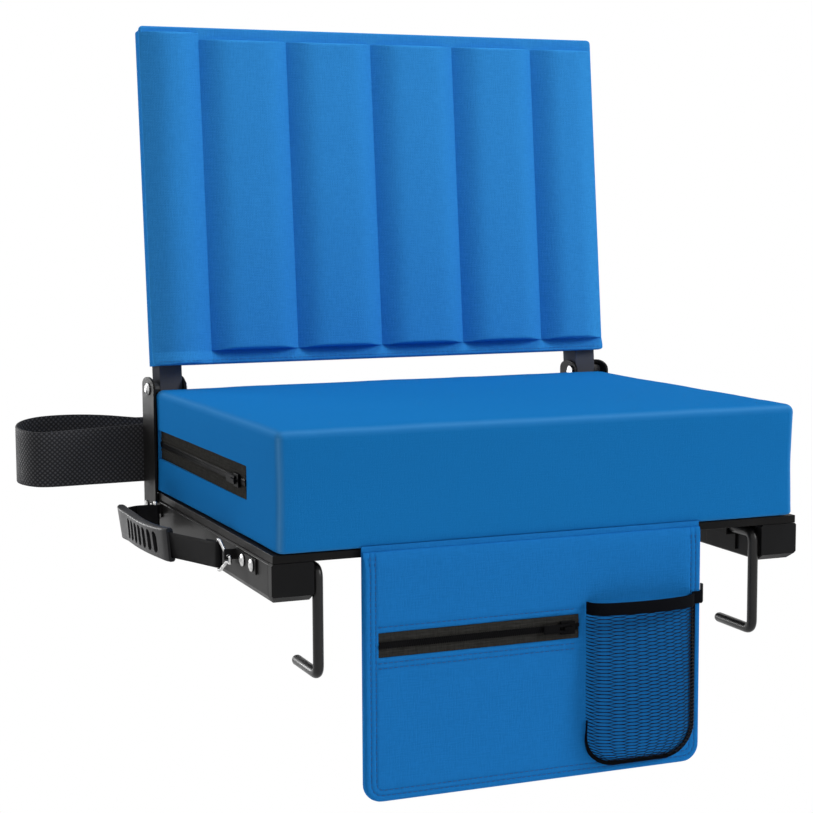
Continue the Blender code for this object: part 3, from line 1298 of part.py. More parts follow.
combine(handle_grip, add_piece("grip_slots", bm, BLACK_PLASTIC, handle), "DIFFERENCE")

# Shoulder strap: riveted to both brackets' webs, with a slack loop out to the left and back behind the seat
strap_y = ear_rear + TOUCH + STRAP_THICK / 2
strap_start = inner_ear_outer_face + STRAP_END_INSET
strap_edge = ear_inner_face + PLATE
loop_end = -(strap_edge + STRAP_LOOP_REACH)
strap_points = [
    (-strap_start, strap_y), (-(strap_start + strap_edge) / 2, strap_y), (-strap_edge, strap_y),
    (loop_end * 0.45 - strap_edge * 0.55, strap_y - STRAP_THICK), (loop_end * 0.88 - strap_edge * 0.12, strap_y),
    (loop_end, strap_y + STRAP_LOOP_DEPTH * 0.5), (loop_end * 0.86 - strap_edge * 0.14, strap_y + STRAP_LOOP_DEPTH * 0.93),
    (loop_end * 0.4 - strap_edge * 0.6, strap_y + STRAP_LOOP_DEPTH * 1.02),
    (-strap_edge * 0.6, strap_y + STRAP_LOOP_DEPTH * 0.82), (0.0, strap_y + STRAP_LOOP_DEPTH * 0.5),
    (strap_edge * 0.65, strap_y + STRAP_LOOP_DEPTH * 0.14), (strap_start, strap_y), (strap_edge, strap_y),
]
strap_path = smooth_path([(x, y, 0.0) for x, y in strap_points], 5)
for point in strap_path:
    if abs(point.x) < strap_edge + STRAP_THICK:
        point.y = max(point.y, strap_y)
strap_low = strap_middle - STRAP_WIDTH / 2
bm = bmesh.new()
band(bm, strap_path, STRAP_THICK, strap_low, strap_low + STRAP_WIDTH)
shoulder_strap = add_piece("shoulder_strap", bm, BLACK_WEBBING)
strap_bores = []
for side_name, side in SIDES:
    stretch = (strap_y - 2 * STRAP_THICK, strap_y + 2 * STRAP_THICK)
    strap_bores.append(("y", (side * strap_rivet_x, strap_middle), *stretch, RIVET_RADIUS + TOUCH))
add_holes(shoulder_strap, strap_bores)
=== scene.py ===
import math
import random

import bmesh
import bpy
from mathutils import Matrix, Vector, noise


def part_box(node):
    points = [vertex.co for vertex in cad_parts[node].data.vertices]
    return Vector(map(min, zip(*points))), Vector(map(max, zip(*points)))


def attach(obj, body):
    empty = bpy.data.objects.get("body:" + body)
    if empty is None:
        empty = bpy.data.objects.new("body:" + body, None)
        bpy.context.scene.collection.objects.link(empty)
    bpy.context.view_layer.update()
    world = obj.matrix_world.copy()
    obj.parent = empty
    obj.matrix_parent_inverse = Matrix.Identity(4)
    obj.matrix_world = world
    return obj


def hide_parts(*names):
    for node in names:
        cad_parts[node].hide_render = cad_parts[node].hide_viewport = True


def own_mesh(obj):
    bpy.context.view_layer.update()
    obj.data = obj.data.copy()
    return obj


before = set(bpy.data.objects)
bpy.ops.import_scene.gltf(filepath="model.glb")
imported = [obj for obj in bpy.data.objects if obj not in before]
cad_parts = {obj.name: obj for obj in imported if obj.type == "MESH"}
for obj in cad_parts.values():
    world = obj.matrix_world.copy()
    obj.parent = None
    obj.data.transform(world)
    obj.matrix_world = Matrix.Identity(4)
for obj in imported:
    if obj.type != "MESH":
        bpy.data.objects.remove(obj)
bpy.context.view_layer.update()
bpy.context.scene.view_settings.view_transform = "Standard"

# Camera: it stands in front of the seat, to its left and a little above the cushion,
# and looks slightly down with a long lens.
CAMERA_PLACE = Vector((-0.6067, -1.3749, 0.2783))
CAMERA_YAW = math.radians(22.0332)
CAMERA_PITCH = math.radians(6.1579)
CAMERA_ROLL = math.radians(-0.2775)
CAMERA_LENS = 81.05
CAMERA_SENSOR = 36.0


def new_object(name, data):
    """An object in the scene."""
    made = bpy.data.objects.new(name, data)
    bpy.context.scene.collection.objects.link(made)
    return made


camera_data = bpy.data.cameras.new("camera")
camera_data.sensor_width = CAMERA_SENSOR
camera_data.lens = CAMERA_LENS
camera = new_object("camera", camera_data)
aim = Matrix.Rotation(-CAMERA_YAW, 4, "Z") @ Matrix.Rotation(math.pi / 2 - CAMERA_PITCH, 4, "X")
camera.matrix_world = Matrix.Translation(CAMERA_PLACE) @ aim @ Matrix.Rotation(CAMERA_ROLL, 4, "Z")
bpy.context.scene.camera = camera

# Studio: a pale floor as far below the rails as a bench is high, white surroundings, a broad key light
# from the front right, a soft light overhead, and two behind on the left for the cushion's side and the rail.
WHITE = (1.0, 1.0, 1.0, 1.0)
FLOOR_PALE = (0.93, 0.93, 0.93, 1.0)
FLOOR_ROUGHNESS = 0.9
FLOOR_DROP = 0.47
FLOOR_REACH = 4.0
FLOOR_SHADOW_REACH = (0.35, 0.62)
WORLD_STRENGTH = 0.28
# Each light has its name, place, target, size in metres and power in watts.
LIGHTS = (
    ("key_light", (2.6, -2.2, 2.0), (0.0, 0.1, 0.15), 1.4, 76.0),
    ("top_light", (-0.2, -0.1, 2.1), (0.0, 0.0, 0.1), 1.4, 19.0),
    ("left_light", (-1.3, 1.6, 0.5), (-0.2, 0.0, 0.08), 0.8, 15.5),
    ("rail_light", (-1.0, 2.2, 0.1), (-0.22, 0.12, 0.02), 0.35, 5.0),
)


def new_material(name):
    """A material with its node tree and its shader."""
    material = bpy.data.materials.new(name)
    material.use_nodes = True
    return material, material.node_tree, material.node_tree.nodes["Principled BSDF"]


def add_node(tree, kind, inputs=None, **settings):
    """A shader node with its settings. Its inputs, by name or number, take links or plain values."""
    node = tree.nodes.new("ShaderNode" + kind)
    for setting, value in settings.items():
        setattr(node, setting, value)
    for socket, value in (inputs or {}).items():
        if isinstance(value, bpy.types.NodeSocket):
            tree.links.new(value, node.inputs[socket])
        else:
            node.inputs[socket].default_value = value
    return node


def calc(tree, operation, *values):
    """The result of one maths node, fed by sockets or plain numbers."""
    return add_node(tree, "Math", dict(enumerate(values)), operation=operation).outputs[0]


def ranged(tree, value, low, high):
    """A share from 0 to 1 as value goes from low to high, with soft ends."""
    inputs = {"Value": value, "From Min": low, "From Max": high}
    return add_node(tree, "MapRange", inputs, interpolation_type="SMOOTHSTEP").outputs[0]


def object_places(tree):
    """Each point's place in its object's own frame."""
    return add_node(tree, "TexCoord").outputs["Object"]


def seen_ray(tree):
    """1 for a ray that the camera sees, straight, through something clear or in a reflection."""
    rays = add_node(tree, "LightPath").outputs
    seen = calc(tree, "MAXIMUM", rays["Is Camera Ray"], rays["Is Transmission Ray"])
    return calc(tree, "MAXIMUM", seen, rays["Is Glossy Ray"])


def show_mixed(tree, output, share, first, second):
    """Sends a mix of two shader nodes to an output node."""
    mixed = add_node(tree, "MixShader", {"Fac": share, 1: first.outputs[0], 2: second.outputs[0]})
    tree.links.new(mixed.outputs[0], tree.nodes[output].inputs["Surface"])


world = bpy.data.worlds.new("studio")
bpy.context.scene.world = world
world.use_nodes = True
tree = world.node_tree
shown = tree.nodes["Background"]
shown.inputs["Strength"].default_value = 1.0
shown.inputs["Color"].default_value = WHITE
around = add_node(tree, "Background", {"Strength": WORLD_STRENGTH, "Color": WHITE})
show_mixed(tree, "World Output", seen_ray(tree), around, shown)

floor_mesh = bpy.data.meshes.new("floor")
floor_signs = ((-1, -1), (1, -1), (1, 1), (-1, 1))
floor_corners = [(x * FLOOR_REACH, y * FLOOR_REACH, -FLOOR_DROP) for x, y in floor_signs]
floor_mesh.from_pydata(floor_corners, [], [(0, 1, 2, 3)])
floor = new_object("floor", floor_mesh)
floor_material, tree, shader = new_material("floor_paper")
shader.inputs["Base Color"].default_value = FLOOR_PALE
shader.inputs["Roughness"].default_value = FLOOR_ROUGHNESS
away = add_node(tree, "VectorMath", {0: object_places(tree)}, operation="LENGTH").outputs["Value"]
far = ranged(tree, away, *FLOOR_SHADOW_REACH)
paper_white = add_node(tree, "Emission", {"Strength": 1.0})
show_mixed(tree, "Material Output", calc(tree, "MULTIPLY", seen_ray(tree), far), shader, paper_white)
floor_mesh.materials.append(floor_material)

for light_name, place, target, size, power in LIGHTS:
    light_data = bpy.data.lights.new(light_name, "AREA")
    light_data.size = size
    light_data.energy = power
    light = new_object(light_name, light_data)
    light.location = place
    light.rotation_euler = (Vector(target) - Vector(place)).to_track_quat("-Z", "Y").to_euler()

# Steel frame: rails, cross tubes, hinge brackets, ring clips, hook saddles and the back's bent hoop.
# Mild steel tube and plate, bent, welded and powder coated in satin black, with softly rounded edges.
STEEL_BLACK = (0.014, 0.0137, 0.0137, 1.0)
STEEL_DUST = (0.024, 0.0232, 0.0232, 1.0)
STEEL_EDGE = 0.0004
EDGE_ANGLE = math.radians(35.0)
WELD_REACH = 0.00001
DUST_SCALE = 26.0
DUST_DETAIL = 5.0
DUST_RANGE = (0.42, 0.78)
DUST_SHARE = 0.55
DUST_ROUGHNESS = 0.16
COAT_GRAIN = 900.0
COAT_DEPTH = 0.00004
COAT_GLOSS = 0.34
STEEL_NODES = (
    "rail_left", "rail_right", "rear_cross_tube", "ring_clip_front", "ring_clip_rear",
    "hook_saddle_left", "hook_saddle_right",
)
# The hoop's coat has no shine. Its grey is the coat's black lightened by a painted reflection, several times
# lighter than the rails' black.
HOOP_GREY_AND_SHEEN = (0.085, 0.088, 0.102, 1.0)
HOOP_DUST_AND_SHEEN = (0.105, 0.108, 0.123, 1.0)


def start_group(name, colours, numbers):
    """A shader node group that takes colours and numbers, and gives a colour, a roughness and a normal."""
    group = bpy.data.node_groups.new(name, "ShaderNodeTree")
    for kind, inputs in (("NodeSocketColor", colours), ("NodeSocketFloat", numbers)):
        for socket, value in inputs.items():
            made = group.interface.new_socket(socket, in_out="INPUT", socket_type=kind)
            made.default_value = value
    for socket, kind in (("Colour", "Color"), ("Roughness", "Float"), ("Normal", "Vector")):
        group.interface.new_socket(socket, in_out="OUTPUT", socket_type="NodeSocket" + kind)
    return group, group.nodes.new("NodeGroupInput").outputs


def end_group(group, colour, roughness, normal):
    """Sends a group's three results out."""
    result = group.nodes.new("NodeGroupOutput").inputs
    for socket, value in (("Colour", colour), ("Roughness", roughness), ("Normal", normal)):
        group.links.new(value, result[socket])


def speckle(tree, vector, scale, detail=2.0):
    """Soft noise of about one spot per 1/scale metres."""
    return add_node(tree, "TexNoise", {"Vector": vector, "Scale": scale, "Detail": detail}).outputs[0]


def mix_colour(tree, share, first, second):
    """The first colour where share is 0 and the second where it is 1."""
    return add_node(tree, "Mix", {0: share, 6: first, 7: second}, data_type="RGBA").outputs[2]


def bumped(tree, height, distance):
    """The normal of a surface raised by height, which is distance metres where it is 1."""
    return add_node(tree, "Bump", {"Height": height, "Distance": distance}).outputs["Normal"]


def finish_material(name, group, inputs, shine=0.5):
    """A material whose shader takes its colour, roughness and normal from a group."""
    material, tree, shader = new_material(name)
    node = add_node(tree, "Group", node_tree=group)
    for socket, value in inputs.items():
        node.inputs[socket].default_value = value
    for socket, target in (("Colour", "Base Color"), ("Roughness", "Roughness"), ("Normal", "Normal")):
        tree.links.new(node.outputs[socket], shader.inputs[target])
    shader.inputs["Specular IOR Level"].default_value = shine
    return material


coat_colours = {"Paint": STEEL_BLACK, "Dust": STEEL_DUST}
coat_numbers = {"Grain": COAT_GRAIN, "Depth": COAT_DEPTH, "Gloss": COAT_GLOSS}
coat_group, given = start_group("powder_coat", coat_colours, coat_numbers)
tree = coat_group
peel = speckle(tree, object_places(tree), given["Grain"])
dusty = ranged(tree, speckle(tree, object_places(tree), DUST_SCALE, DUST_DETAIL), *DUST_RANGE)
paint = mix_colour(tree, calc(tree, "MULTIPLY", dusty, DUST_SHARE), given["Paint"], given["Dust"])
rough = calc(tree, "MULTIPLY_ADD", dusty, DUST_ROUGHNESS, given["Gloss"])
end_group(tree, paint, rough, bumped(tree, peel, given["Depth"]))


def coated(name, paint, dust, shine, grain=COAT_GRAIN, depth=COAT_DEPTH, gloss=COAT_GLOSS):
    """A powder coat, or a moulded skin where its grain is finer."""
    inputs = {"Paint": paint, "Dust": dust, "Grain": grain, "Depth": depth, "Gloss": gloss}
    return finish_material(name, coat_group, inputs, shine)


def dress(node_names, material, edge):
    """Gives CAD nodes their finish and rounds their edges a little."""
    for node_name in node_names:
        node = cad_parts[node_name]
        node.data.materials.clear()
        node.data.materials.append(material)
        weld = node.modifiers.new("weld", "WELD")
        weld.merge_threshold = WELD_REACH
        bevel = node.modifiers.new("edge", "BEVEL")
        bevel.width = edge
        bevel.segments = 2
        bevel.limit_method = "ANGLE"
        bevel.angle_limit = EDGE_ANGLE
        bevel.harden_normals = True


bracket_coat = coated("bracket_powder_coat", STEEL_BLACK, STEEL_DUST, 0.03)
dress(STEEL_NODES, coated("steel_powder_coat", STEEL_BLACK, STEEL_DUST, 0.05), STEEL_EDGE)
dress(("back_hoop", "back_lower_tube"), coated("hoop_coat_painted_sheen", HOOP_GREY_AND_SHEEN, HOOP_DUST_AND_SHEEN, 0.0), STEEL_EDGE)
dress(("bracket_left", "bracket_right"), bracket_coat, STEEL_EDGE)

# End caps: black nylon plugs, injection moulded with a fine spark grain.
# They are pressed into the rails' ends.
NYLON_BLACK = (0.0055, 0.0055, 0.006, 1.0)
NYLON_WORN = (0.011, 0.011, 0.012, 1.0)
CAP_EDGE = 0.0004
cap_nylon = coated("moulded_nylon", NYLON_BLACK, NYLON_WORN, 0.1, 1700.0, 0.00003, 0.42)
dress(("front_cap_left", "front_cap_right", "rear_cap_left", "rear_cap_right"), cap_nylon, CAP_EDGE)

# Boards: the base board under the cushion and the thin board in the back, both hardboard
# with a black sealed face and a faint fibre grain; the base board's edge shows as a dark line.
BOARD_BLACK = (0.010, 0.0098, 0.0098, 1.0)
BOARD_FIBRE = (0.018, 0.017, 0.0165, 1.0)
BOARD_EDGE = 0.0004
board_face = coated("sealed_hardboard", BOARD_BLACK, BOARD_FIBRE, 0.05, 420.0, 0.00008, 0.38)
dress(("base_board", "back_board"), board_face, BOARD_EDGE)

# Rivets: zinc-plated steel, each with a domed head and a set tail.
# The pivot spacers are turned nylon.
RIVET_ZINC = (0.62, 0.62, 0.61, 1.0)
RIVET_DULL = (0.36, 0.36, 0.37, 1.0)
RIVET_EDGE = 0.0005
WASHER_BLACK = (0.02, 0.02, 0.022, 1.0)
WASHER_EDGE = 0.0003
ZINC_CLOUD_SCALE = 320.0
ZINC_CLOUD_DETAIL = 4.0
ZINC_CLOUD_RANGE = (0.35, 0.75)
ZINC_ROUGHNESS = 0.24
ZINC_CLOUD_ROUGHNESS = 0.2
ZINC_GRAIN = 2400.0
ZINC_GRAIN_DEPTH = 0.00002
zinc_colours = {"Plate": RIVET_ZINC, "Dull": RIVET_DULL}
zinc_group, given = start_group("zinc_plate", zinc_colours, {})
tree = zinc_group
cloud = speckle(tree, object_places(tree), ZINC_CLOUD_SCALE, ZINC_CLOUD_DETAIL)
cloud = ranged(tree, cloud, *ZINC_CLOUD_RANGE)
plate = mix_colour(tree, cloud, given["Plate"], given["Dull"])
rough = calc(tree, "MULTIPLY_ADD", cloud, ZINC_CLOUD_ROUGHNESS, ZINC_ROUGHNESS)
grain = speckle(tree, object_places(tree), ZINC_GRAIN)
end_group(tree, plate, rough, bumped(tree, grain, ZINC_GRAIN_DEPTH))
zinc = finish_material("zinc_plated_steel", zinc_group, zinc_colours)
zinc.node_tree.nodes["Principled BSDF"].inputs["Metallic"].default_value = 1.0
washer_nylon = coated("spacer_nylon", WASHER_BLACK, NYLON_WORN, 0.5, 1500.0, gloss=0.45)
dress([node_name for node_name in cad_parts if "rivet" in node_name], zinc, RIVET_EDGE)
dress(("pivot_washer_left", "pivot_washer_right"), washer_nylon, WASHER_EDGE)

# Bench hooks: 8 mm steel rod bent twice, with rounded ends, powder coated black.
# Each turns in its saddle on the rail and hooks under the bench's plank.
HOOK_X = 0.1822
HOOK_Y = -0.1545
HOOK_ARM_Z = 0.0225
HOOK_ARM = 0.084
HOOK_FOOT = 0.052
HOOK_FOOT_Z = -0.0551
HOOK_BEND = 0.008
HOOK_RADIUS = 0.004


def add_piece(name, bm, material, body, replaced=(), crease=40.0):
    """Makes a smooth-shaded piece that rides on a body, takes a material and hides the CAD nodes it stands
    for.
    """
    bmesh.ops.recalc_face_normals(bm, faces=bm.faces)
    mesh = bpy.data.meshes.new(name)
    bm.to_mesh(mesh)
    bm.free()
    mesh.materials.append(material)
    mesh.shade_smooth()
    mesh.set_sharp_from_angle(angle=math.radians(crease))
    piece = new_object(name, mesh)
    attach(piece, body)
    if replaced:
        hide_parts(*replaced)
    return piece


def stack(bm, rings, caps=True):
    """Joins closed rings of points, one after the next, into one body."""
    verts = [[bm.verts.new(point) for point in ring] for ring in rings]
    count = len(verts[0])
    pairs = list(zip(verts, verts[1:]))
    if not caps:
        pairs.append((verts[-1], verts[0]))
    for ring, other in pairs:
        for i in range(count):
            j = (i + 1) % count
            bm.faces.new((ring[i], ring[j], other[j], other[i]))
    if caps:
        bm.faces.new(verts[0])
        bm.faces.new(verts[-1])


def filleted(points, radius, steps, closed=False):
    """A path with each corner replaced by an arc-like curve of the given reach."""
    path = []
    count = len(points)
    for i, here in enumerate(points):
        here = Vector(here)
        if not closed and i in (0, count - 1):
            path.append(here)
            continue
        start = here + (Vector(points[i - 1]) - here).normalized() * radius
        end = here + (Vector(points[(i + 1) % count]) - here).normalized() * radius
        for k in range(steps + 1):
            t = k / steps
            path.append(start * (1 - t) ** 2 + here * 2 * t * (1 - t) + end * t ** 2)
    return path


def tangents(path, closed=False):
    """The direction of travel at each point of a path."""
    count = len(path)
    directions = []
    for i in range(count):
        before = path[i - 1] if closed or i else path[0]
        after = path[(i + 1) % count] if closed or i < count - 1 else path[-1]
        directions.append((after - before).normalized())
    return directions


def rod(bm, path, radius, across, sides, closed=False, rounded=False):
    """A round rod along a path that lies about square to across. Its ends are rounded where asked."""
    across = Vector(across)
    ways = tangents(path, closed)
    stations = [(point, along, radius) for point, along in zip(path, ways)]
    if rounded:
        start = []
        end = []
        for angle in (80, 55, 30):
            turn = math.radians(angle)
            reach = radius * math.sin(turn)
            start.append((path[0] - ways[0] * (reach - radius), ways[0], radius * math.cos(turn)))
            end.append((path[-1] + ways[-1] * (reach - radius), ways[-1], radius * math.cos(turn)))
        inner = stations[1:-1]
        first = (path[0] + ways[0] * radius, ways[0], radius)
        last = (path[-1] - ways[-1] * radius, ways[-1], radius)
        stations = start + [first] + inner + [last] + list(reversed(end))
    rings = []
    for point, along, size in stations:
        side = (across - along * across.dot(along)).normalized()
        other = along.cross(side)
        ring = []
        for i in range(sides):
            angle = 2 * math.pi * (i + 0.5) / sides
            ring.append(point + side * size * math.cos(angle) + other * size * math.sin(angle))
        rings.append(ring)
    stack(bm, rings, caps=not closed)


hook_coat = coated("hook_powder_coat", STEEL_BLACK, STEEL_DUST, 0.25, 700.0, 0.00008, 0.3)
for side_name, side in (("left", -1), ("right", 1)):
    x = side * HOOK_X
    corners = [
        (x, HOOK_Y + HOOK_ARM, HOOK_ARM_Z), (x, HOOK_Y, HOOK_ARM_Z),
        (x, HOOK_Y, HOOK_FOOT_Z), (x, HOOK_Y + HOOK_FOOT, HOOK_FOOT_Z),
    ]
    bm = bmesh.new()
    rod(bm, filleted(corners, HOOK_BEND, 8), HOOK_RADIUS, (1, 0, 0), 20, rounded=True)
    add_piece("hook_rod_" + side_name, bm, hook_coat, "hook_" + side_name,
              ["bench_hook_" + side_name])

# Seat cushion: a foam block about 90 mm thick in a sewn polyester cover that is pulled tight,
# so its faces are smooth, its sides draw in slightly and its edges are softly rounded.
CUSHION_BLUE = (0.0110, 0.190, 0.530, 1.0)
CUSHION_DARK = (0.0090, 0.158, 0.455, 1.0)
# The next colour is a painted highlight: a lighter blue mixed into the cover along its rounded edges.
CUSHION_EDGE_HIGHLIGHT = (0.085, 0.330, 0.690, 1.0)
CUSHION_REAR_SWELL = 0.0031
CUSHION_REAR_REACH = 0.0045
CUSHION_ROUND = 0.0068
CUSHION_BASE_ROUND = 0.003
CUSHION_CROWN = 0.0035
CUSHION_DRAWN_IN = 0.0009
CUSHION_PRESS_GAP = 0.004
CUSHION_UNEVEN = ((18.0, 0.0005), (60.0, 0.00022))
CUSHION_GRID = (40, 32, 12)
EDGE_STEPS = 4
CORNER_TURN = 0.293
TOP_HIGHLIGHT_SHARE = 0.5
EDGE_HIGHLIGHT_SHARE = 0.9
ZIP_WINDOW_DEPTH = 0.0018
ZIP_WINDOW_REACH = 0.01
TAPE_END_SHARE = 0.6
WINDOW_MARGIN = 0.0003
CLOTH_SHINE = 0.006
CLOTH_ROUGHNESS = 0.95
THREAD_GLOSS = 0.12
THREAD_GAP_SHADE = 0.35
WEAVE_COUNT = 1500.0
WEAVE_SLUB = 0.5
WEAVE_DEPTH = 0.0001
FACING_SHARE = 0.7
SLUB_LONG = 110.0
SLUB_SHORT = 900.0
SLUB_RANGE = (0.36, 0.64)


def turns(tree, way, count):
    """The angle of a wave along way that makes half a turn for each of count threads in a metre."""
    return calc(tree, "MULTIPLY", calc(tree, "MULTIPLY", way, count), math.pi)


def chosen(tree, share, first, second):
    """The first value where share is 0 and the second where it is 1."""
    kept = calc(tree, "MULTIPLY", first, calc(tree, "SUBTRACT", 1.0, share))
    return calc(tree, "ADD", kept, calc(tree, "MULTIPLY", second, share))


weave_colours = {"Thread": CUSHION_BLUE, "Shade": CUSHION_DARK}
weave_numbers = {"Count": WEAVE_COUNT, "Slub": WEAVE_SLUB, "Depth": WEAVE_DEPTH}
weave_group, given = start_group("woven_cloth", weave_colours, weave_numbers)
tree = weave_group
coordinates = add_node(tree, "TexCoord").outputs
split = add_node(tree, "SeparateXYZ", {0: coordinates["Object"]}).outputs
facing = add_node(tree, "SeparateXYZ", {0: coordinates["Normal"]}).outputs
sideways = calc(tree, "GREATER_THAN", calc(tree, "ABSOLUTE", facing["X"]), FACING_SHARE)
upwards = calc(tree, "GREATER_THAN", calc(tree, "ABSOLUTE", facing["Z"]), FACING_SHARE)
run = chosen(tree, sideways, split["X"], split["Y"])
rise = chosen(tree, upwards, split["Z"], split["Y"])
warp = calc(tree, "SINE", turns(tree, run, given["Count"]))
weft = calc(tree, "SINE", turns(tree, rise, given["Count"]))
over = calc(tree, "GREATER_THAN", calc(tree, "MULTIPLY", warp, weft), 0.0)
threads = chosen(tree, over, calc(tree, "ABSOLUTE", warp), calc(tree, "ABSOLUTE", weft))
slubs = []
for long_way, short_way in ((run, rise), (rise, run)):
    long_places = calc(tree, "MULTIPLY", long_way, SLUB_LONG)
    short_places = calc(tree, "MULTIPLY", short_way, SLUB_SHORT)
    slub_places = add_node(tree, "CombineXYZ", {0: long_places, 1: short_places}).outputs[0]
    slubs.append(speckle(tree, slub_places, 1.0))
slub = ranged(tree, calc(tree, "MULTIPLY", calc(tree, "ADD", *slubs), 0.5), *SLUB_RANGE)
between = calc(tree, "SUBTRACT", 1.0, threads)
slub_shade = calc(tree, "MULTIPLY", slub, given["Slub"])
dark = calc(tree, "MULTIPLY_ADD", between, THREAD_GAP_SHADE, slub_shade)
shade = mix_colour(tree, calc(tree, "MINIMUM", dark, 1.0), given["Thread"], given["Shade"])
rough = calc(tree, "MULTIPLY_ADD", threads, -THREAD_GLOSS, CLOTH_ROUGHNESS)
end_group(tree, shade, rough, bumped(tree, calc(tree, "ADD", threads, slub), given["Depth"]))


def cloth(name, thread_colour, shade_colour, count, slub=WEAVE_SLUB, depth=WEAVE_DEPTH, shine=CLOTH_SHINE):
    """A woven cloth of the given thread colours."""
    inputs = {"Thread": thread_colour, "Shade": shade_colour, "Count": count, "Slub": slub, "Depth": depth}
    return finish_material(name, weave_group, inputs, shine)


def clamped(value):
    """A value held between 0 and 1."""
    return min(max(value, 0.0), 1.0)


def edge_stops(low, high, radius, steps, inner):
    """Grid lines along one side of a block, close together where its edge is rounded."""
    ends = [radius * (1 - math.tan(math.radians(45.0 * k / steps))) for k in range(steps, -1, -1)]
    stops = [low + end for end in ends]
    for k in range(1, inner):
        stops.append(low + radius + (high - low - 2 * radius) * k / inner)
    return stops + [high - end for end in reversed(ends)]


def rounded_block(bm, low, high, radius, inner, shape):
    """A block with rounded edges as a fine net of faces. shape moves each of its points."""
    stops = [edge_stops(low[i], high[i], radius, EDGE_STEPS, inner[i]) for i in range(3)]
    highlight_layer = bm.verts.layers.float.new("edge")
    made = {}

    def vert(place):
        key = tuple(round(value, 7) for value in place)
        if key not in made:
            core = Vector([min(max(place[i], low[i] + radius), high[i] - radius) for i in range(3)])
            way = (Vector(place) - core).normalized()
            made[key] = bm.verts.new(shape(core + way * radius))
            # The layer named edge holds each point's share of the painted edge highlight, full on the side
            # edges and weaker on the top edges.
            turn = min((1.0 - max(abs(value) for value in way)) / CORNER_TURN, 1.0)
            made[key][highlight_layer] = turn * (TOP_HIGHLIGHT_SHARE if abs(way.z) > 0.2 else 1.0)
        return made[key]

    for axis in range(3):
        first, second = [i for i in range(3) if i != axis]
        for level in (low[axis], high[axis]):
            for a, b in zip(stops[first], stops[first][1:]):
                for c, d in zip(stops[second], stops[second][1:]):
                    face = []
                    for u, v in ((a, c), (b, c), (b, d), (a, d)):
                        place = [0.0, 0.0, 0.0]
                        place[axis] = level
                        place[first] = u
                        place[second] = v
                        face.append(vert(place))
                    bm.faces.new(face)


cushion_low, cushion_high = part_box("seat_cover")
cushion_edge = cushion_high.z - CUSHION_CROWN
cushion_middle = (cushion_low + cushion_high) / 2


def cushion_shape(point):
    """The crowned top, the drawn-in sides and the slight unevenness of the cover."""
    across = (point.x - cushion_middle.x) / (cushion_high.x - cushion_low.x) * 2
    along = (point.y - cushion_middle.y) / (cushion_high.y - cushion_low.y) * 2
    height = (point.z - cushion_low.z) / (cushion_edge - cushion_low.z)
    rise_above = point.z - cushion_low.z
    if rise_above < CUSHION_ROUND:
        rise_above *= CUSHION_BASE_ROUND / CUSHION_ROUND
    elif point.z < cushion_edge - CUSHION_ROUND:
        wall = cushion_edge - cushion_low.z - 2 * CUSHION_ROUND
        share = (rise_above - CUSHION_ROUND) / wall
        rise_above = CUSHION_BASE_ROUND + share * (wall + CUSHION_ROUND - CUSHION_BASE_ROUND)
    crown = CUSHION_CROWN * (1 - across ** 4) * (1 - along ** 4) * max(height, 0.0) ** 6
    draw = CUSHION_DRAWN_IN * math.sin(math.pi * clamped(height))
    uneven = sum(size * noise.noise(point * scale) for scale, size in CUSHION_UNEVEN)
    moved = Vector((point.x, point.y, cushion_low.z + rise_above + crown))
    moved.x -= math.copysign(draw - uneven, across) * min(abs(across), 1.0) ** 8
    moved.y -= math.copysign(draw - uneven, along) * min(abs(along), 1.0) ** 8
    moved.z += uneven * max(height, 0.0) ** 6
    rear = clamped(along * 0.5 + 0.5)
    moved.x += math.copysign(CUSHION_REAR_SWELL * rear ** 2, across) * min(abs(across), 1.0)
    moved.y += CUSHION_REAR_REACH * rear ** 3
    return moved


cushion_cloth = cloth("cushion_polyester", CUSHION_BLUE, CUSHION_DARK, 1700.0, 0.15, 0.00005)
tree = cushion_cloth.node_tree
base_colour = tree.nodes["Principled BSDF"].inputs["Base Color"]
# Painted highlight: the cover is made lighter along its rounded edges, by the weights in the layer named
# edge.
painted_highlight_mask = add_node(tree, "Attribute", attribute_name="edge").outputs["Fac"]
painted_highlight_share = calc(tree, "MULTIPLY", painted_highlight_mask, EDGE_HIGHLIGHT_SHARE)
plain_colour = base_colour.links[0].from_socket
tree.links.new(mix_colour(tree, painted_highlight_share, plain_colour, CUSHION_EDGE_HIGHLIGHT), base_colour)
tape_low, tape_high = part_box("side_zip_tape")
press_level = tape_high.z + CUSHION_PRESS_GAP
bm = bmesh.new()
block_high = Vector((cushion_high.x, cushion_high.y, cushion_edge))
rounded_block(bm, cushion_low, block_high, CUSHION_ROUND, CUSHION_GRID, cushion_shape)
upper_bm = bm.copy()
for half, is_upper in ((bm, False), (upper_bm, True)):
    every = list(half.verts) + list(half.edges) + list(half.faces)
    bmesh.ops.bisect_plane(
        half, geom=every, dist=1e-6, plane_co=(0.0, 0.0, press_level), plane_no=(0.0, 0.0, 1.0),
        clear_outer=not is_upper, clear_inner=is_upper)
    bmesh.ops.holes_fill(half, edges=[edge for edge in half.edges if edge.is_boundary], sides=0)
cushion = add_piece("seat_cushion", bm, cushion_cloth, "seat", ["seat_cover", "seat_foam"])
cushion_top = add_piece("seat_cushion_top", upper_bm, cushion_cloth, "seat")
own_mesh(cushion_top)


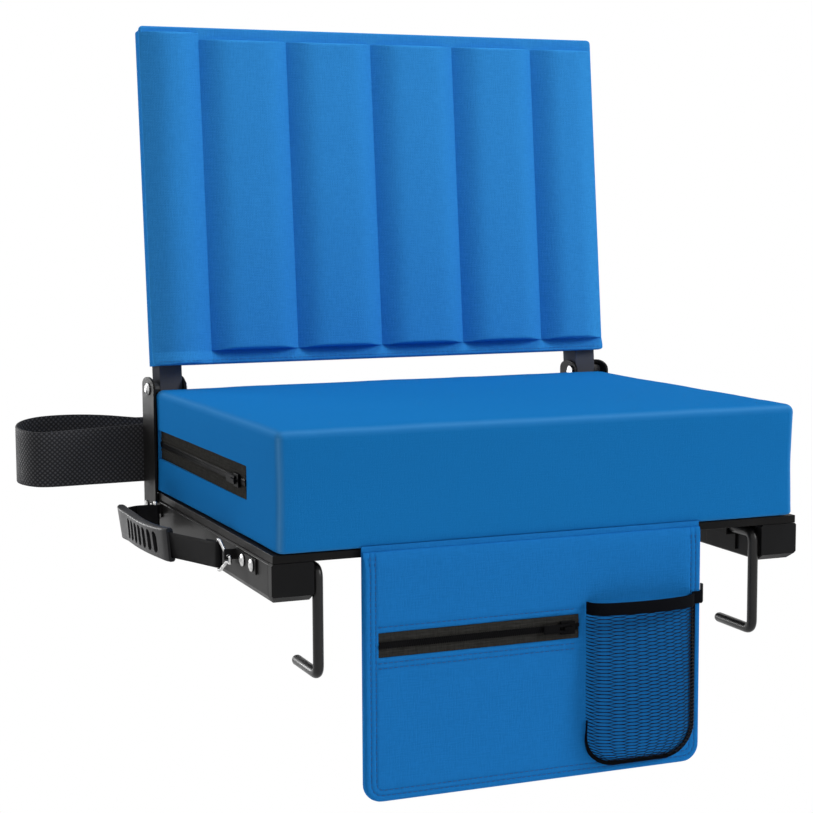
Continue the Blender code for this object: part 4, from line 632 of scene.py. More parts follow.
def cut(target, cutter_bm):
    """Cuts a shape out of a piece for good."""
    bmesh.ops.recalc_face_normals(cutter_bm, faces=cutter_bm.faces)
    cutter_mesh = bpy.data.meshes.new("cutter")
    cutter_bm.to_mesh(cutter_mesh)
    cutter_bm.free()
    cutter = new_object("cutter", cutter_mesh)
    modifier = target.modifiers.new("cut", "BOOLEAN")
    modifier.operation = "DIFFERENCE"
    modifier.solver = "EXACT"
    modifier.object = cutter
    bpy.context.view_layer.update()
    graph = bpy.context.evaluated_depsgraph_get()
    old = target.data
    target.data = bpy.data.meshes.new_from_object(target.evaluated_get(graph))
    target.data.name = old.name
    target.modifiers.clear()
    bpy.data.objects.remove(cutter)
    bpy.data.meshes.remove(cutter_mesh)
    bpy.data.meshes.remove(old)


tape_end = cushion_high.y - CUSHION_ROUND * TAPE_END_SHARE
window_out = cushion_low.x - ZIP_WINDOW_REACH
window_in = cushion_low.x + ZIP_WINDOW_DEPTH
window_front = tape_low.y - WINDOW_MARGIN
window_rear = tape_end + WINDOW_MARGIN
rings = []
for z in (tape_low.z - WINDOW_MARGIN, tape_high.z + WINDOW_MARGIN):
    rings.append([
        (window_out, window_front, z), (window_in, window_front, z),
        (window_in, window_rear, z), (window_out, window_rear, z)])
bm = bmesh.new()
stack(bm, rings)
cut(cushion, bm)

# Zips: a coil zip in the cushion's left side and one in the pouch. Each has two woven tapes with a folded
# edge, a nylon coil sewn between them, and a moulded slider with a pull that swings on its bail.
TAPE_GREY = (0.043, 0.042, 0.039, 1.0)
TAPE_DARK = (0.020, 0.0195, 0.018, 1.0)
COIL_BLACK = (0.004, 0.004, 0.0045, 1.0)
COIL_WORN = (0.009, 0.009, 0.0095, 1.0)
TAPE_THICK = 0.0010
COIL_HALF = 0.0025
COIL_RISE = 0.0012
COIL_SUNK = 0.55
TOOTH_PITCH = 0.0017
TAPE_STEPS = 24
SLIDER_EDGE = 0.0004
PULL_EDGE = 0.0003
# A tape's section: steps in from its outer edge, then out from the coil, with heights in thicknesses.
TAPE_FOLD = ((0.0, 0.0), (0.0, 0.7), (0.0012, 0.9))
TAPE_RIB = ((0.0036, 0.8), (0.0030, 1.25), (0.0018, 1.3), (0.0013, 0.85), (-0.0006, 0.85), (-0.0006, 0.0))
# A tooth is four sections: reach across in coil halves, lowest and highest level, and half width in pitches.
TOOTH_SECTIONS = (
    (1.0, 0.35, 0.80, 0.30), (0.8, 0.10, 1.0, 0.42), (0.1, 0.10, 1.0, 0.42), (-0.2, 0.35, 0.75, 0.26),
)
tape_cloth = cloth("zip_tape_weave", TAPE_GREY, TAPE_DARK, 1300.0, 0.6)
coil_nylon = coated("zip_coil_nylon", COIL_BLACK, COIL_WORN, 0.03, 2000.0, 0.00003, 0.40)


def spaced(low, high, steps):
    """Evenly spaced values from low to high, with both among them."""
    return [low + (high - low) * k / steps for k in range(steps + 1)]


def zip_axes(place, along, across, out):
    """Takes a zip's own axes (along, across, out) to the world."""
    return Matrix.Translation(place) @ Matrix((along, across, out)).transposed().to_4x4()


def zip_pieces(name, matrix, length, height, body):
    """The two tapes of a zip, with a raised rib beside the coil, and the coil's teeth."""
    profile = [(height / 2 - step, TAPE_THICK * level) for step, level in TAPE_FOLD]
    profile += [(COIL_HALF + step, TAPE_THICK * level) for step, level in TAPE_RIB]
    bm = bmesh.new()
    for side in (-1, 1):
        rings = []
        for along in spaced(0.0, length, TAPE_STEPS):
            rings.append([matrix @ Vector((along, side * across, out)) for across, out in profile])
        stack(bm, rings)
    add_piece(name + "_tapes", bm, tape_cloth, body, [name + "_tape"], crease=30.0)
    bm = bmesh.new()
    count = int(length / TOOTH_PITCH)
    for k in range(count):
        for side in (-1, 1):
            at = (k + 0.5 + side * 0.25) * length / count
            rings = []
            for reach, low, high, wide in TOOTH_SECTIONS:
                across = side * (COIL_HALF * reach)
                ring = []
                for step, level in ((-wide, low), (wide, low), (wide, high), (-wide, high)):
                    out = TAPE_THICK * COIL_SUNK + level * COIL_RISE
                    ring.append(matrix @ Vector((at + step * TOOTH_PITCH, across, out)))
                rings.append(ring)
            stack(bm, rings)
    add_piece(name + "_coil", bm, coil_nylon, body, crease=60.0)


side_middle = (tape_low + tape_high) / 2
side_axes = zip_axes((tape_high.x, tape_low.y, side_middle.z), (0, 1, 0), (0, 0, 1), (-1, 0, 0))
zip_pieces("side_zip", side_axes, tape_end - tape_low.y, tape_high.z - tape_low.z, "seat")
dress(("side_zip_slider", "pouch_zip_slider"), coil_nylon, SLIDER_EDGE)
dress(("side_zip_pull", "pouch_zip_pull"), coil_nylon, PULL_EDGE)

# Back cover: a polyester sleeve over the bent hoop's rear, sides and top, hemmed at the bottom.
# The quilted panel is sewn to its front edge.
# The panel's blue is lighter than the seat's and the sleeve's. Part of that lightness is painted light on the
# panel.
BACK_BLUE = (0.040, 0.300, 0.740, 1.0)
BACK_DARK = (0.026, 0.236, 0.635, 1.0)
SLEEVE_BLUE = (0.017, 0.205, 0.580, 1.0)
SLEEVE_DARK = (0.012, 0.165, 0.490, 1.0)
PIVOT = Vector((0.0, 0.175, 0.1241))
RECLINE = math.radians(5.6)
BACK_HEM = 0.0195
BACK_TOP = 0.313
SLEEVE_INNER = 0.2123
SLEEVE_OUTER = 0.2143
SLEEVE_FRONT = -0.0083
SLEEVE_REAR = 0.0223
SLEEVE_WALL = 0.002
SLEEVE_ROUND = 0.0035
SLEEVE_COLUMNS = 24
SLEEVE_ROWS = 30
SLEEVE_REAR_FROM = 0.02
SLEEVE_PUFF = 0.0004
SLEEVE_UNEVEN = 0.0008
SLEEVE_WAVES = 14.0
SLEEVE_TOP_ROUND = 0.0015
# The top's rings: the share of its rounding that each has taken, and how far it lies below the top.
SLEEVE_TOP = ((0.0, SLEEVE_WALL), (0.0, 0.0012), (0.3, 0.0004), (1.0, 0.0))
lean = Matrix.Translation(PIVOT) @ Matrix.Rotation(-RECLINE, 4, "X")
back_cloth = cloth("back_polyester", BACK_BLUE, BACK_DARK, 900.0, 0.5, 0.00012)
sleeve_cloth = cloth("sleeve_polyester", SLEEVE_BLUE, SLEEVE_DARK, 900.0, 0.5, 0.00012)


def arc(centre, radius, start, end, steps):
    """Points of an arc, with angles in degrees."""
    angles = [math.radians(angle) for angle in spaced(start, end, steps)]
    return [(centre[0] + radius * math.cos(angle), centre[1] + radius * math.sin(angle)) for angle in angles]


def sleeve_plan(outer, rear, corner):
    """The sleeve's open outline in plan, from its right front edge round the rear to its left front edge."""
    plan = [(outer, SLEEVE_FRONT), (outer, (SLEEVE_FRONT + rear) / 2)]
    plan += arc((outer - corner, rear - corner), corner, 0, 90, 5)
    shares = [1 - 2 * k / SLEEVE_COLUMNS for k in range(1, SLEEVE_COLUMNS)]
    plan += [((outer - corner) * share, rear) for share in shares]
    plan += arc((corner - outer, rear - corner), corner, 90, 180, 5)
    return plan + [(-outer, (SLEEVE_FRONT + rear) / 2), (-outer, SLEEVE_FRONT)]


outer_plan = sleeve_plan(SLEEVE_OUTER, SLEEVE_REAR, SLEEVE_ROUND)
inner_plan = sleeve_plan(SLEEVE_INNER, SLEEVE_REAR - SLEEVE_WALL, SLEEVE_ROUND - SLEEVE_WALL)
wall_plan = outer_plan + list(reversed(inner_plan))
bm = bmesh.new()
rings = []
for height in spaced(BACK_HEM, BACK_TOP - SLEEVE_WALL, SLEEVE_ROWS):
    ring = []
    for i, (x, y) in enumerate(wall_plan):
        place = Vector((x, y, height))
        if i < len(outer_plan) and y > SLEEVE_REAR_FROM:
            soft = noise.noise(Vector((x * SLEEVE_WAVES, 3.0, height * SLEEVE_WAVES)))
            place.y += SLEEVE_PUFF + SLEEVE_UNEVEN * soft
        ring.append(lean @ place)
    rings.append(ring)
stack(bm, rings)
rings = []
for share, below in SLEEVE_TOP:
    ring = []
    for x, y in outer_plan:
        inner_x = x - math.copysign(share * SLEEVE_TOP_ROUND, x)
        inner_y = min(y, SLEEVE_REAR - share * SLEEVE_TOP_ROUND)
        ring.append(lean @ Vector((inner_x, inner_y, BACK_TOP - below)))
    rings.append(ring)
stack(bm, rings)
add_piece("back_sleeve", bm, sleeve_cloth, "backrest", ["back_cover"])

# Quilted back panel: polyester over thin wadding, stitched through in five vertical seams that make
# six channels, with a flat border along its top and a stitched hem at its bottom.
QUILT_HALF = 0.2185
QUILT_BACK = -0.0086
SEAMS = (-0.166, -0.086, -0.006, 0.074, 0.154)
SEAM_THICK = 0.0025
CREST_THICK = 0.0140
CREST_ROUND = 0.0018
FLANK = 0.0230
END_ROLL = 0.0032
FOOT_ROLL = 0.0021
FIRST_FOOT = 0.0004
FIRST_ROLL = 0.0012
HEM_FLARE = 0.0042
TOP_BORDER = 0.0112
FIRST_BORDER = 0.0055
HEM_BAND = 0.0115
PANEL_EDGE = 0.0016
PANEL_CORNER = 0.004
PANEL_RIM = 0.0012
PANEL_LIP = 0.0004
PUCKER = 0.0006
PUCKER_REACH = 0.007
PUCKER_WAVES = (30.0, 140.0)
QUILT_UNEVEN = 0.0007
QUILT_WAVES = (20.0, 15.0)
CHANNEL_COLUMNS = 8
QUILT_ROWS = 36
# Grid lines, by their distance from a seam or channel end, from the hem's foot and from the top.
ROLL_STOPS = (0.0, 0.0003, 0.0008, 0.0016, 0.0027, 0.0041, 0.0058, 0.0078, 0.0102, 0.0135, 0.0175, 0.0225)
HEM_STOPS = (0.0, 0.0004, 0.0010, 0.0018, 0.0050, 0.0085, 0.0105)
TOP_STOPS = (0.0038, 0.0024, 0.0016, 0.0009, 0.0004, 0.0)


def rolled(distance, reach):
    """A quarter round: 0 at an edge, and 1 from reach inwards."""
    return math.sqrt(1 - (1 - clamped(distance / reach)) ** 2)


def drawn(distance, reach):
    """A long soft slope: 0 at a seam, and 1 from reach inwards."""
    return math.sin(math.pi / 2 * clamped(distance / reach))


channel_edges = [-QUILT_HALF + PANEL_RIM] + list(SEAMS) + [QUILT_HALF - PANEL_RIM]
channels = list(zip(channel_edges, channel_edges[1:]))
channel_low = BACK_HEM + HEM_BAND
quilt_columns = [-QUILT_HALF, -QUILT_HALF + PANEL_LIP]
for low_edge, high_edge in channels:
    quilt_columns += [low_edge + stop for stop in ROLL_STOPS]
    quilt_columns += spaced(low_edge + ROLL_STOPS[-1], high_edge - ROLL_STOPS[-1], CHANNEL_COLUMNS)[1:-1]
    quilt_columns += [high_edge - stop for stop in reversed(ROLL_STOPS[1:])]
quilt_columns += [QUILT_HALF - PANEL_RIM, QUILT_HALF - PANEL_LIP, QUILT_HALF]
quilt_rows = [BACK_HEM + stop for stop in HEM_STOPS] + [channel_low + stop for stop in ROLL_STOPS]
quilt_rows += spaced(channel_low + ROLL_STOPS[-1], BACK_TOP - TOP_BORDER - ROLL_STOPS[-1], QUILT_ROWS)[1:]
top_rows = set()
for border_height in (TOP_BORDER, FIRST_BORDER):
    top_rows.update(round(BACK_TOP - border_height - stop, 5) for stop in ROLL_STOPS[:-1])
quilt_rows += sorted(top_rows) + [BACK_TOP - stop for stop in TOP_STOPS]


def quilt_thick(x, height):
    """The panel's thickness: its channels, with small puckers beside each seam."""
    rim = min(QUILT_HALF - abs(x), height - BACK_HEM, BACK_TOP - height)
    flare = HEM_FLARE * clamped((channel_low - height) / HEM_BAND)
    base = (SEAM_THICK + flare) * (0.1 + 0.9 * rolled(rim, PANEL_EDGE))
    for number, (low_edge, high_edge) in enumerate(channels):
        if low_edge <= x < high_edge:
            break
    end_high = BACK_TOP - (TOP_BORDER if number else FIRST_BORDER)
    end_low = channel_low if number else BACK_HEM + FIRST_FOOT
    beside = min(x - low_edge, high_edge - x)
    if beside <= 0.0 or height <= end_low or height >= end_high:
        return base
    foot = rolled(height - end_low, FOOT_ROLL if number else FIRST_ROLL)
    full = min(drawn(beside, FLANK), foot, rolled(end_high - height, END_ROLL))
    middle = (x - (low_edge + high_edge) / 2) / (high_edge - low_edge) * 2
    puff = (CREST_THICK - SEAM_THICK + CREST_ROUND * (1 - middle ** 2)) * full
    gathered = noise.noise(Vector((x * PUCKER_WAVES[0], 1.0, height * PUCKER_WAVES[1])))
    pucker = PUCKER * math.exp(-beside / PUCKER_REACH) * gathered
    uneven = QUILT_UNEVEN * noise.noise(Vector((x * QUILT_WAVES[0], 5.0, height * QUILT_WAVES[1])))
    return base + puff + (pucker + uneven) * min(full * 2.0, 1.0)


def round_corner(x, z, corner_x, corner_z):
    """Takes a point beyond a corner's centre from a square corner to a round one."""
    step = Vector((x - corner_x, z - corner_z))
    step = step.normalized() * max(abs(step.x), abs(step.y))
    return corner_x + step.x, corner_z + step.y


def quilt_point(x, height, thick):
    """A point of the panel, thick in front of its rear face. The panel's corners are slightly round."""
    placed = (x, height)
    corner_x = math.copysign(QUILT_HALF - PANEL_CORNER, x)
    for corner_z, side in ((BACK_HEM + PANEL_CORNER, -1), (BACK_TOP - PANEL_CORNER, 1)):
        if abs(x) > abs(corner_x) and (height - corner_z) * side > 0:
            placed = round_corner(x, height, corner_x, corner_z)
    return lean @ Vector((placed[0], QUILT_BACK - thick, placed[1]))


def join_grid(bm, grid, is_open=None):
    """Joins a grid of points into faces, leaving out those where is_open(row, column) is true."""
    for row, (line, other) in enumerate(zip(grid, grid[1:])):
        for i in range(len(line) - 1):
            if is_open is None or not is_open(row, i):
                bm.faces.new((line[i], line[i + 1], other[i + 1], other[i]))


bm = bmesh.new()
grid = []
for height in quilt_rows:
    points = [quilt_point(x, height, quilt_thick(x, height)) for x in quilt_columns]
    grid.append([bm.verts.new(point) for point in points])
join_grid(bm, grid)
border = [(0, i) for i in range(len(quilt_columns))]
border += [(k, len(quilt_columns) - 1) for k in range(1, len(quilt_rows) - 1)]
border += [(len(quilt_rows) - 1, i) for i in reversed(range(len(quilt_columns)))]
border += [(k, 0) for k in reversed(range(1, len(quilt_rows) - 1))]
front_loop = [grid[row][column] for row, column in border]
rear_points = [quilt_point(quilt_columns[column], quilt_rows[row], 0.0) for row, column in border]
rear_loop = [bm.verts.new(point) for point in rear_points]
for i in range(len(border)):
    j = (i + 1) % len(border)
    bm.faces.new((front_loop[i], front_loop[j], rear_loop[j], rear_loop[i]))
bm.faces.new(rear_loop)
quilt = add_piece("quilt_panel", bm, back_cloth, "backrest", ["back_quilt"], crease=70.0)
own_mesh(quilt)

# Thread: a lockstitch row along the back panel's hem, in polyester thread of the cloth's colour.
# The flap's thread is a darker blue.
HEM_THREAD_BLUE = (0.032, 0.255, 0.660, 1.0)
HEM_THREAD_DARK = (0.022, 0.205, 0.565, 1.0)
THREAD_BLUE = (0.012, 0.150, 0.440, 1.0)
THREAD_DARK = (0.008, 0.105, 0.330, 1.0)
STITCH_LENGTH = 0.0032
STITCH_GAP = 0.0010
STITCH_RADIUS = 0.00036
STITCH_SIDES = 6
STITCH_LIFT = 0.0001
STITCH_RAISED = 0.4
HEM_STITCH_SHARE = 0.3
HEM_STITCH_MARGIN = 0.004
HEM_STITCH_STEPS = 100
THREAD_COUNT = 2500.0
THREAD_SHINE = 0.5
# A stitch is four rings: their place along it, their size, and how far they sink into the cloth.
STITCH_RINGS = ((0.0, 0.4, 0.5), (0.2, 1.0, 0.0), (0.8, 1.0, 0.0), (1.0, 0.4, 0.5))
hem_thread = cloth("hem_thread", HEM_THREAD_BLUE, HEM_THREAD_DARK, THREAD_COUNT, shine=THREAD_SHINE)
thread = cloth("sewing_thread", THREAD_BLUE, THREAD_DARK, THREAD_COUNT, shine=THREAD_SHINE)


def add_stitches(bm, path, out):
    """A row of stitches along a path, each a short rounded thread on the cloth. out points away from it."""
    lengths = [0.0]
    for a, b in zip(path, path[1:]):
        lengths.append(lengths[-1] + (b - a).length)

    def at(distance):
        for k in range(len(path) - 1):
            if distance <= lengths[k + 1]:
                share = (distance - lengths[k]) / (lengths[k + 1] - lengths[k])
                return path[k].lerp(path[k + 1], share)
        return path[-1]

    place = 0.0
    while place + STITCH_LENGTH < lengths[-1]:
        start = at(place)
        end = at(place + STITCH_LENGTH)
        along = (end - start).normalized()
        side = along.cross(out).normalized()
        rings = []
        for share, size, sunk in STITCH_RINGS:
            middle = start.lerp(end, share) + out * STITCH_RADIUS * (STITCH_RAISED - sunk)
            ring = []
            for i in range(STITCH_SIDES):
                angle = 2 * math.pi * (i + 0.5) / STITCH_SIDES
                reach = side * math.cos(angle) + out * math.sin(angle)
                ring.append(middle + reach * STITCH_RADIUS * size)
            rings.append(ring)
        stack(bm, rings)
        place += STITCH_LENGTH + STITCH_GAP


back_out = lean.to_3x3() @ Vector((0.0, -1.0, 0.0))
stitch_height = BACK_HEM + HEM_BAND * HEM_STITCH_SHARE
row = []
for k in range(HEM_STITCH_STEPS + 1):
    x = (QUILT_HALF - HEM_STITCH_MARGIN) * (2 * k / HEM_STITCH_STEPS - 1)
    row.append(lean @ Vector((x, QUILT_BACK - quilt_thick(x, stitch_height) - STITCH_LIFT, stitch_height)))
bm = bmesh.new()
add_stitches(bm, row, back_out)
quilt_thread = add_piece("quilt_thread", bm, hem_thread, "backrest")
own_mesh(quilt_thread)

# Front pouch: a flap of the seat's cloth that hangs from the cushion's front edge. It has a flat rear panel
# and a shallow front panel, turned in at the edges and topstitched twice all round, with a zip window.
POUCH_LEFT = -0.1523
POUCH_RIGHT = 0.1267
POUCH_TOP = 0.0376
POUCH_BOTTOM = -0.1514
POUCH_CORNER = 0.014
POUCH_FACE = -0.1688
POUCH_RIM = -0.1648
POUCH_REAR_FACE = -0.1633
POUCH_REAR_THICK = 0.0012
POUCH_CLOTH_THICK = 0.0011
POUCH_FRONT_DROP = 0.004
POUCH_FOLD = 0.0022
POUCH_TOP_FOLD = 0.016
POUCH_WAVE = 0.0010
POUCH_WAVES = (16.0, 22.0)
POUCH_WAVE_FROM = 0.012
POUCH_WAVE_FADE = 0.02
TOPSTITCH = (0.0052, 0.0092)
TOPSTITCH_DROP = 0.007
TOPSTITCH_SUNK = 0.0005
WINDOW_STITCH = (0.0040, 0.0080)
WINDOW_STITCH_STEPS = 40
GROOVE = 0.0006
POUCH_GRID = 0.005
POUCH_GRID_APART = 0.3
# Grid lines, by their distance inside the flap's edge and from the zip window's edges.
EDGE_STOPS = (
    0.0, 0.0005, 0.0012, 0.0022, 0.0038, 0.0047, 0.0052, 0.0057, 0.0072, 0.0087, 0.0092, 0.0097, 0.0115,
)
WINDOW_STOPS = (-0.0085, -0.0080, -0.0075, -0.0045, -0.0040, -0.0035, 0.0)
# The rear panel's rings: how far each lies inside the outline and in front of the rear face.
REAR_RINGS = ((0.0004, 0.0), (0.0, 0.0004), (0.0, 0.0008), (0.0004, POUCH_REAR_THICK))
REAR_SIDE_STEPS = 25
POUCH_BLUE = (0.0165, 0.215, 0.620, 1.0)
POUCH_DARK = (0.0115, 0.172, 0.515, 1.0)
pouch_cloth = cloth("pouch_polyester", POUCH_BLUE, POUCH_DARK, 1300.0, 0.4)
zip_low, zip_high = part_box("pouch_zip_tape")
pouch_turn = POUCH_BOTTOM + POUCH_CORNER
pouch_corners = ((POUCH_LEFT + POUCH_CORNER, -1), (POUCH_RIGHT - POUCH_CORNER, 1))


def pouch_place(across, up):
    """Takes a point of the flap's plain rectangle to its outline with round lower corners."""
    for corner_x, side in pouch_corners:
        if (across - corner_x) * side > 0 and up < pouch_turn:
            return round_corner(across, up, corner_x, pouch_turn)
    return across, up


def pouch_edge(x, z):
    """How far a point of the flap lies inside its outline, not counting the top."""
    for corner_x, side in pouch_corners:
        if (x - corner_x) * side > 0 and z < pouch_turn:
            return POUCH_CORNER - Vector((x - corner_x, z - pouch_turn)).length
    return min(x - POUCH_LEFT, POUCH_RIGHT - x, z - POUCH_BOTTOM)


def pouch_outline(inset, top):
    """The flap's outline, inset from its edge, from its top left round its foot to its top right."""
    points = [(POUCH_LEFT + inset, top)]
    for (corner_x, side), start in zip(pouch_corners, (180, 270)):
        points += arc((corner_x, pouch_turn), POUCH_CORNER - inset, start, start + 90, 8)
    return points + [(POUCH_RIGHT - inset, top)]


def pouch_lines(low, high, extra):
    """Grid lines across the flap: close together at the topstitched edges, and on the window's edges."""
    stops = [low + stop for stop in EDGE_STOPS] + [high - stop for stop in EDGE_STOPS] + list(extra)
    stops = set(round(stop, 6) for stop in stops)
    for value in spaced(low, high, int((high - low) / POUCH_GRID)):
        if all(abs(value - stop) > POUCH_GRID * POUCH_GRID_APART for stop in stops):
            stops.add(round(value, 6))
    return sorted(stops)


window_x = (zip_low.x - WINDOW_MARGIN, zip_high.x + WINDOW_MARGIN)
window_z = (zip_low.z - WINDOW_MARGIN, zip_high.z + WINDOW_MARGIN)
window_stitch = [window_z[1] + WINDOW_STITCH[0]] + [window_z[0] - below for below in WINDOW_STITCH]
window_rows = [window_z[0] + stop for stop in WINDOW_STOPS] + [window_z[1] - stop for stop in WINDOW_STOPS]
across_lines = pouch_lines(POUCH_LEFT, POUCH_RIGHT, window_x)
up_lines = pouch_lines(POUCH_BOTTOM, POUCH_TOP - POUCH_FRONT_DROP, window_rows)


def groove(distance, line):
    """How deep a row of stitches draws the cloth in: 1 on its line."""
    return math.exp(-((distance - line) / GROOVE) ** 2)


def pouch_depth(x, z):
    """The front panel's depth: rounded edges, a groove at each row of topstitch and slight waves."""
    edge = pouch_edge(x, z)
    top = POUCH_TOP - POUCH_FRONT_DROP - z
    fold = min(rolled(edge, POUCH_FOLD), 0.15 + 0.85 * rolled(top, POUCH_TOP_FOLD))
    depth = POUCH_RIM + (POUCH_FACE - POUCH_RIM) * fold
    sunk = sum(groove(edge, line) for line in TOPSTITCH)
    if window_x[0] < x < window_x[1]:
        sunk += sum(groove(z, line) for line in window_stitch)
    wave = 0.5 + 0.5 * noise.noise(Vector((x * POUCH_WAVES[0], 2.0, z * POUCH_WAVES[1])))
    free = clamped((edge - POUCH_WAVE_FROM) / POUCH_WAVE_FADE)
    return depth + GROOVE * min(sunk, 1.0) + POUCH_WAVE * wave * free


def in_window(row, column):
    """Whether a face of the flap's grid lies in the zip's window."""
    middle_x = (across_lines[column] + across_lines[column + 1]) / 2
    middle_z = (up_lines[row] + up_lines[row + 1]) / 2
    return window_x[0] < middle_x < window_x[1] and window_z[0] < middle_z < window_z[1]


bm = bmesh.new()
grid = []
for up in up_lines:
    places = [pouch_place(across, up) for across in across_lines]
    grid.append([bm.verts.new((x, pouch_depth(x, z), z)) for x, z in places])
join_grid(bm, grid, in_window)
loose = [vert for vert in bm.verts if not vert.link_faces]
bmesh.ops.delete(bm, geom=loose, context="VERTS")
pouch_front = add_piece("pouch_front", bm, pouch_cloth, "pouch", ["pouch_front_panel"])
thicken = pouch_front.modifiers.new("cloth", "SOLIDIFY")
thicken.thickness = POUCH_CLOTH_THICK
thicken.offset = -1.0

bm = bmesh.new()
rear_outline = [(POUCH_LEFT, z) for z in spaced(POUCH_TOP, pouch_turn, REAR_SIDE_STEPS)[:-1]]
rear_outline += pouch_outline(0.0, POUCH_TOP)[1:]
pouch_middle = (POUCH_LEFT + POUCH_RIGHT) / 2
rings = []
for inwards, forward in REAR_RINGS:
    y = POUCH_REAR_FACE - forward
    rings.append([(x - math.copysign(inwards, x - pouch_middle), y, z) for x, z in rear_outline])
stack(bm, rings)
pouch_rear = add_piece("pouch_rear", bm, pouch_cloth, "pouch", ["pouch_back_panel"])

pouch_out = Vector((0.0, -1.0, 0.0))
bm = bmesh.new()
for inset in TOPSTITCH:
    outline = pouch_outline(inset, POUCH_TOP - TOPSTITCH_DROP)
    add_stitches(bm, [Vector((x, POUCH_FACE + TOPSTITCH_SUNK, z)) for x, z in outline], pouch_out)
for z in window_stitch:
    row = [Vector((x, pouch_depth(x, z) - STITCH_LIFT, z)) for x in spaced(*window_x, WINDOW_STITCH_STEPS)]
    add_stitches(bm, row, pouch_out)
pouch_thread = add_piece("pouch_thread", bm, thread, "pouch")

zip_middle = (zip_low + zip_high) / 2
pouch_axes = zip_axes((zip_low.x, zip_high.y, zip_middle.z), (1, 0, 0), (0, 0, 1), (0, -1, 0))
zip_pieces("pouch_zip", pouch_axes, zip_high.x - zip_low.x, zip_high.z - zip_low.z, "pouch")

# Mesh bottle pocket: a knitted polyester net of flat honeycomb cells, gathered at its foot so that it stands
# out, sewn down under a narrow binding, with a black band along its mouth that wraps the flap's edge.
NET_BLACK = (0.003, 0.004, 0.008, 1.0)
NET_WORN = (0.006, 0.008, 0.015, 1.0)
NET_BASE = -0.1691
POCKET_LEFT = 0.0267
POCKET_RIGHT = 0.1227
POCKET_TOP = -0.0163
BAND_BOTTOM = -0.0259
NET_TOP = -0.0262
NET_FLOOR = -0.1421
NET_HALF = 0.04535
NET_SHIFT = -0.0026
NET_CORNER = 0.024
NET_FOOT = 0.030
NET_BULGE = (0.0152, 0.0222)
NET_BULGE_DROP = 0.6
NET_PITCH = 0.00135
NET_CELLS = 12
NET_CELL_SPREAD = 0.75
NET_THREAD = 0.00027
NET_STEPS = NET_CELLS * 8
NET_FINE_STEPS = 120
NET_SQUARENESS = 0.7
NET_WAVE_REACH = 0.46
NET_WAVE_SQUARENESS = 0.55
NET_SLACK = 0.15
SEWN_GAP = 0.0003
BINDING_WIDTH = 0.0031
BINDING_THICK = 0.0016
BINDING_RISE = 0.010
BINDING_SHOWN = 0.25
BINDING_FADE_FROM = 0.004
BINDING_FADE = 0.02
BINDING_UNDER = 0.0006
BINDING_SECTION = (
    (1.0, 0.0), (1.0, 0.5), (0.75, 0.95), (0.0, 1.0), (-0.75, 0.95), (-1.0, 0.5), (-1.0, 0.0),
)
BAND_THICK = 0.0012
BAND_STEPS = 6
BAND_EDGE = 0.8
BAND_FLAT = 0.55
BAND_OUT = 0.55
WRAP_GAP = 0.0004
WRAP_BEND = 0.0012
TAB_OUT = 0.95
TAB_THICK_SHARE = 0.8
TAB_FRONT = 0.0036
TAB_REAR = 0.0004
TAB_FOOT = 0.0005
TAB_RISE = 0.0052
RIB_SHARPNESS = 1.7
RIB_LIGHT = 0.85
RIB_GLOSS = 0.2
FLUFF_SCALE = 1400.0
FLUFF_LIGHT = 0.22
WEBBING_ROUGHNESS = 0.75
POCKET_BAND_BLACK = (0.0040, 0.0045, 0.0072, 1.0)
POCKET_BAND_SHADE = (0.0025, 0.003, 0.0045, 1.0)
TAB_GREY = (0.060, 0.055, 0.050, 1.0)
TAB_SHADE = (0.030, 0.027, 0.025, 1.0)
net_middle = (POCKET_LEFT + POCKET_RIGHT) / 2 + NET_SHIFT


def net_section(z):
    """The net's half width and depth at a height."""
    above = max(z - NET_FLOOR, 0.0)
    drop = (NET_TOP - z) / (NET_TOP - NET_FLOOR)
    reach = NET_HALF
    if above < NET_CORNER:
        reach = NET_HALF - NET_CORNER + math.sqrt(max(NET_CORNER ** 2 - (NET_CORNER - above) ** 2, 0.0))
    swell = NET_BULGE[0] + (NET_BULGE[1] - NET_BULGE[0]) * clamped(drop / NET_BULGE_DROP)
    if above < NET_FOOT:
        swell *= math.sqrt(max(1 - (1 - above / NET_FOOT) ** 2, 0.0))
    return reach, swell


def net_curve(z, steps):
    """Points evenly spaced along the net's level line."""
    reach, swell = net_section(z)
    fine = []
    for angle in spaced(0.0, math.pi, NET_FINE_STEPS):
        depth = swell * math.sin(angle) ** NET_SQUARENESS
        fine.append((net_middle - reach * math.cos(angle), NET_BASE - depth))
    lengths = [0.0]
    for a, b in zip(fine, fine[1:]):
        lengths.append(lengths[-1] + math.hypot(b[0] - a[0], b[1] - a[1]))
    points = []
    k = 0
    for i in range(steps + 1):
        distance = lengths[-1] * (i / steps) ** NET_CELL_SPREAD
        while k < NET_FINE_STEPS - 1 and lengths[k + 1] < distance:
            k += 1
        share = (distance - lengths[k]) / max(lengths[k + 1] - lengths[k], 1e-9)
        points.append(tuple(fine[k][n] + (fine[k + 1][n] - fine[k][n]) * share for n in (0, 1)))
    return points


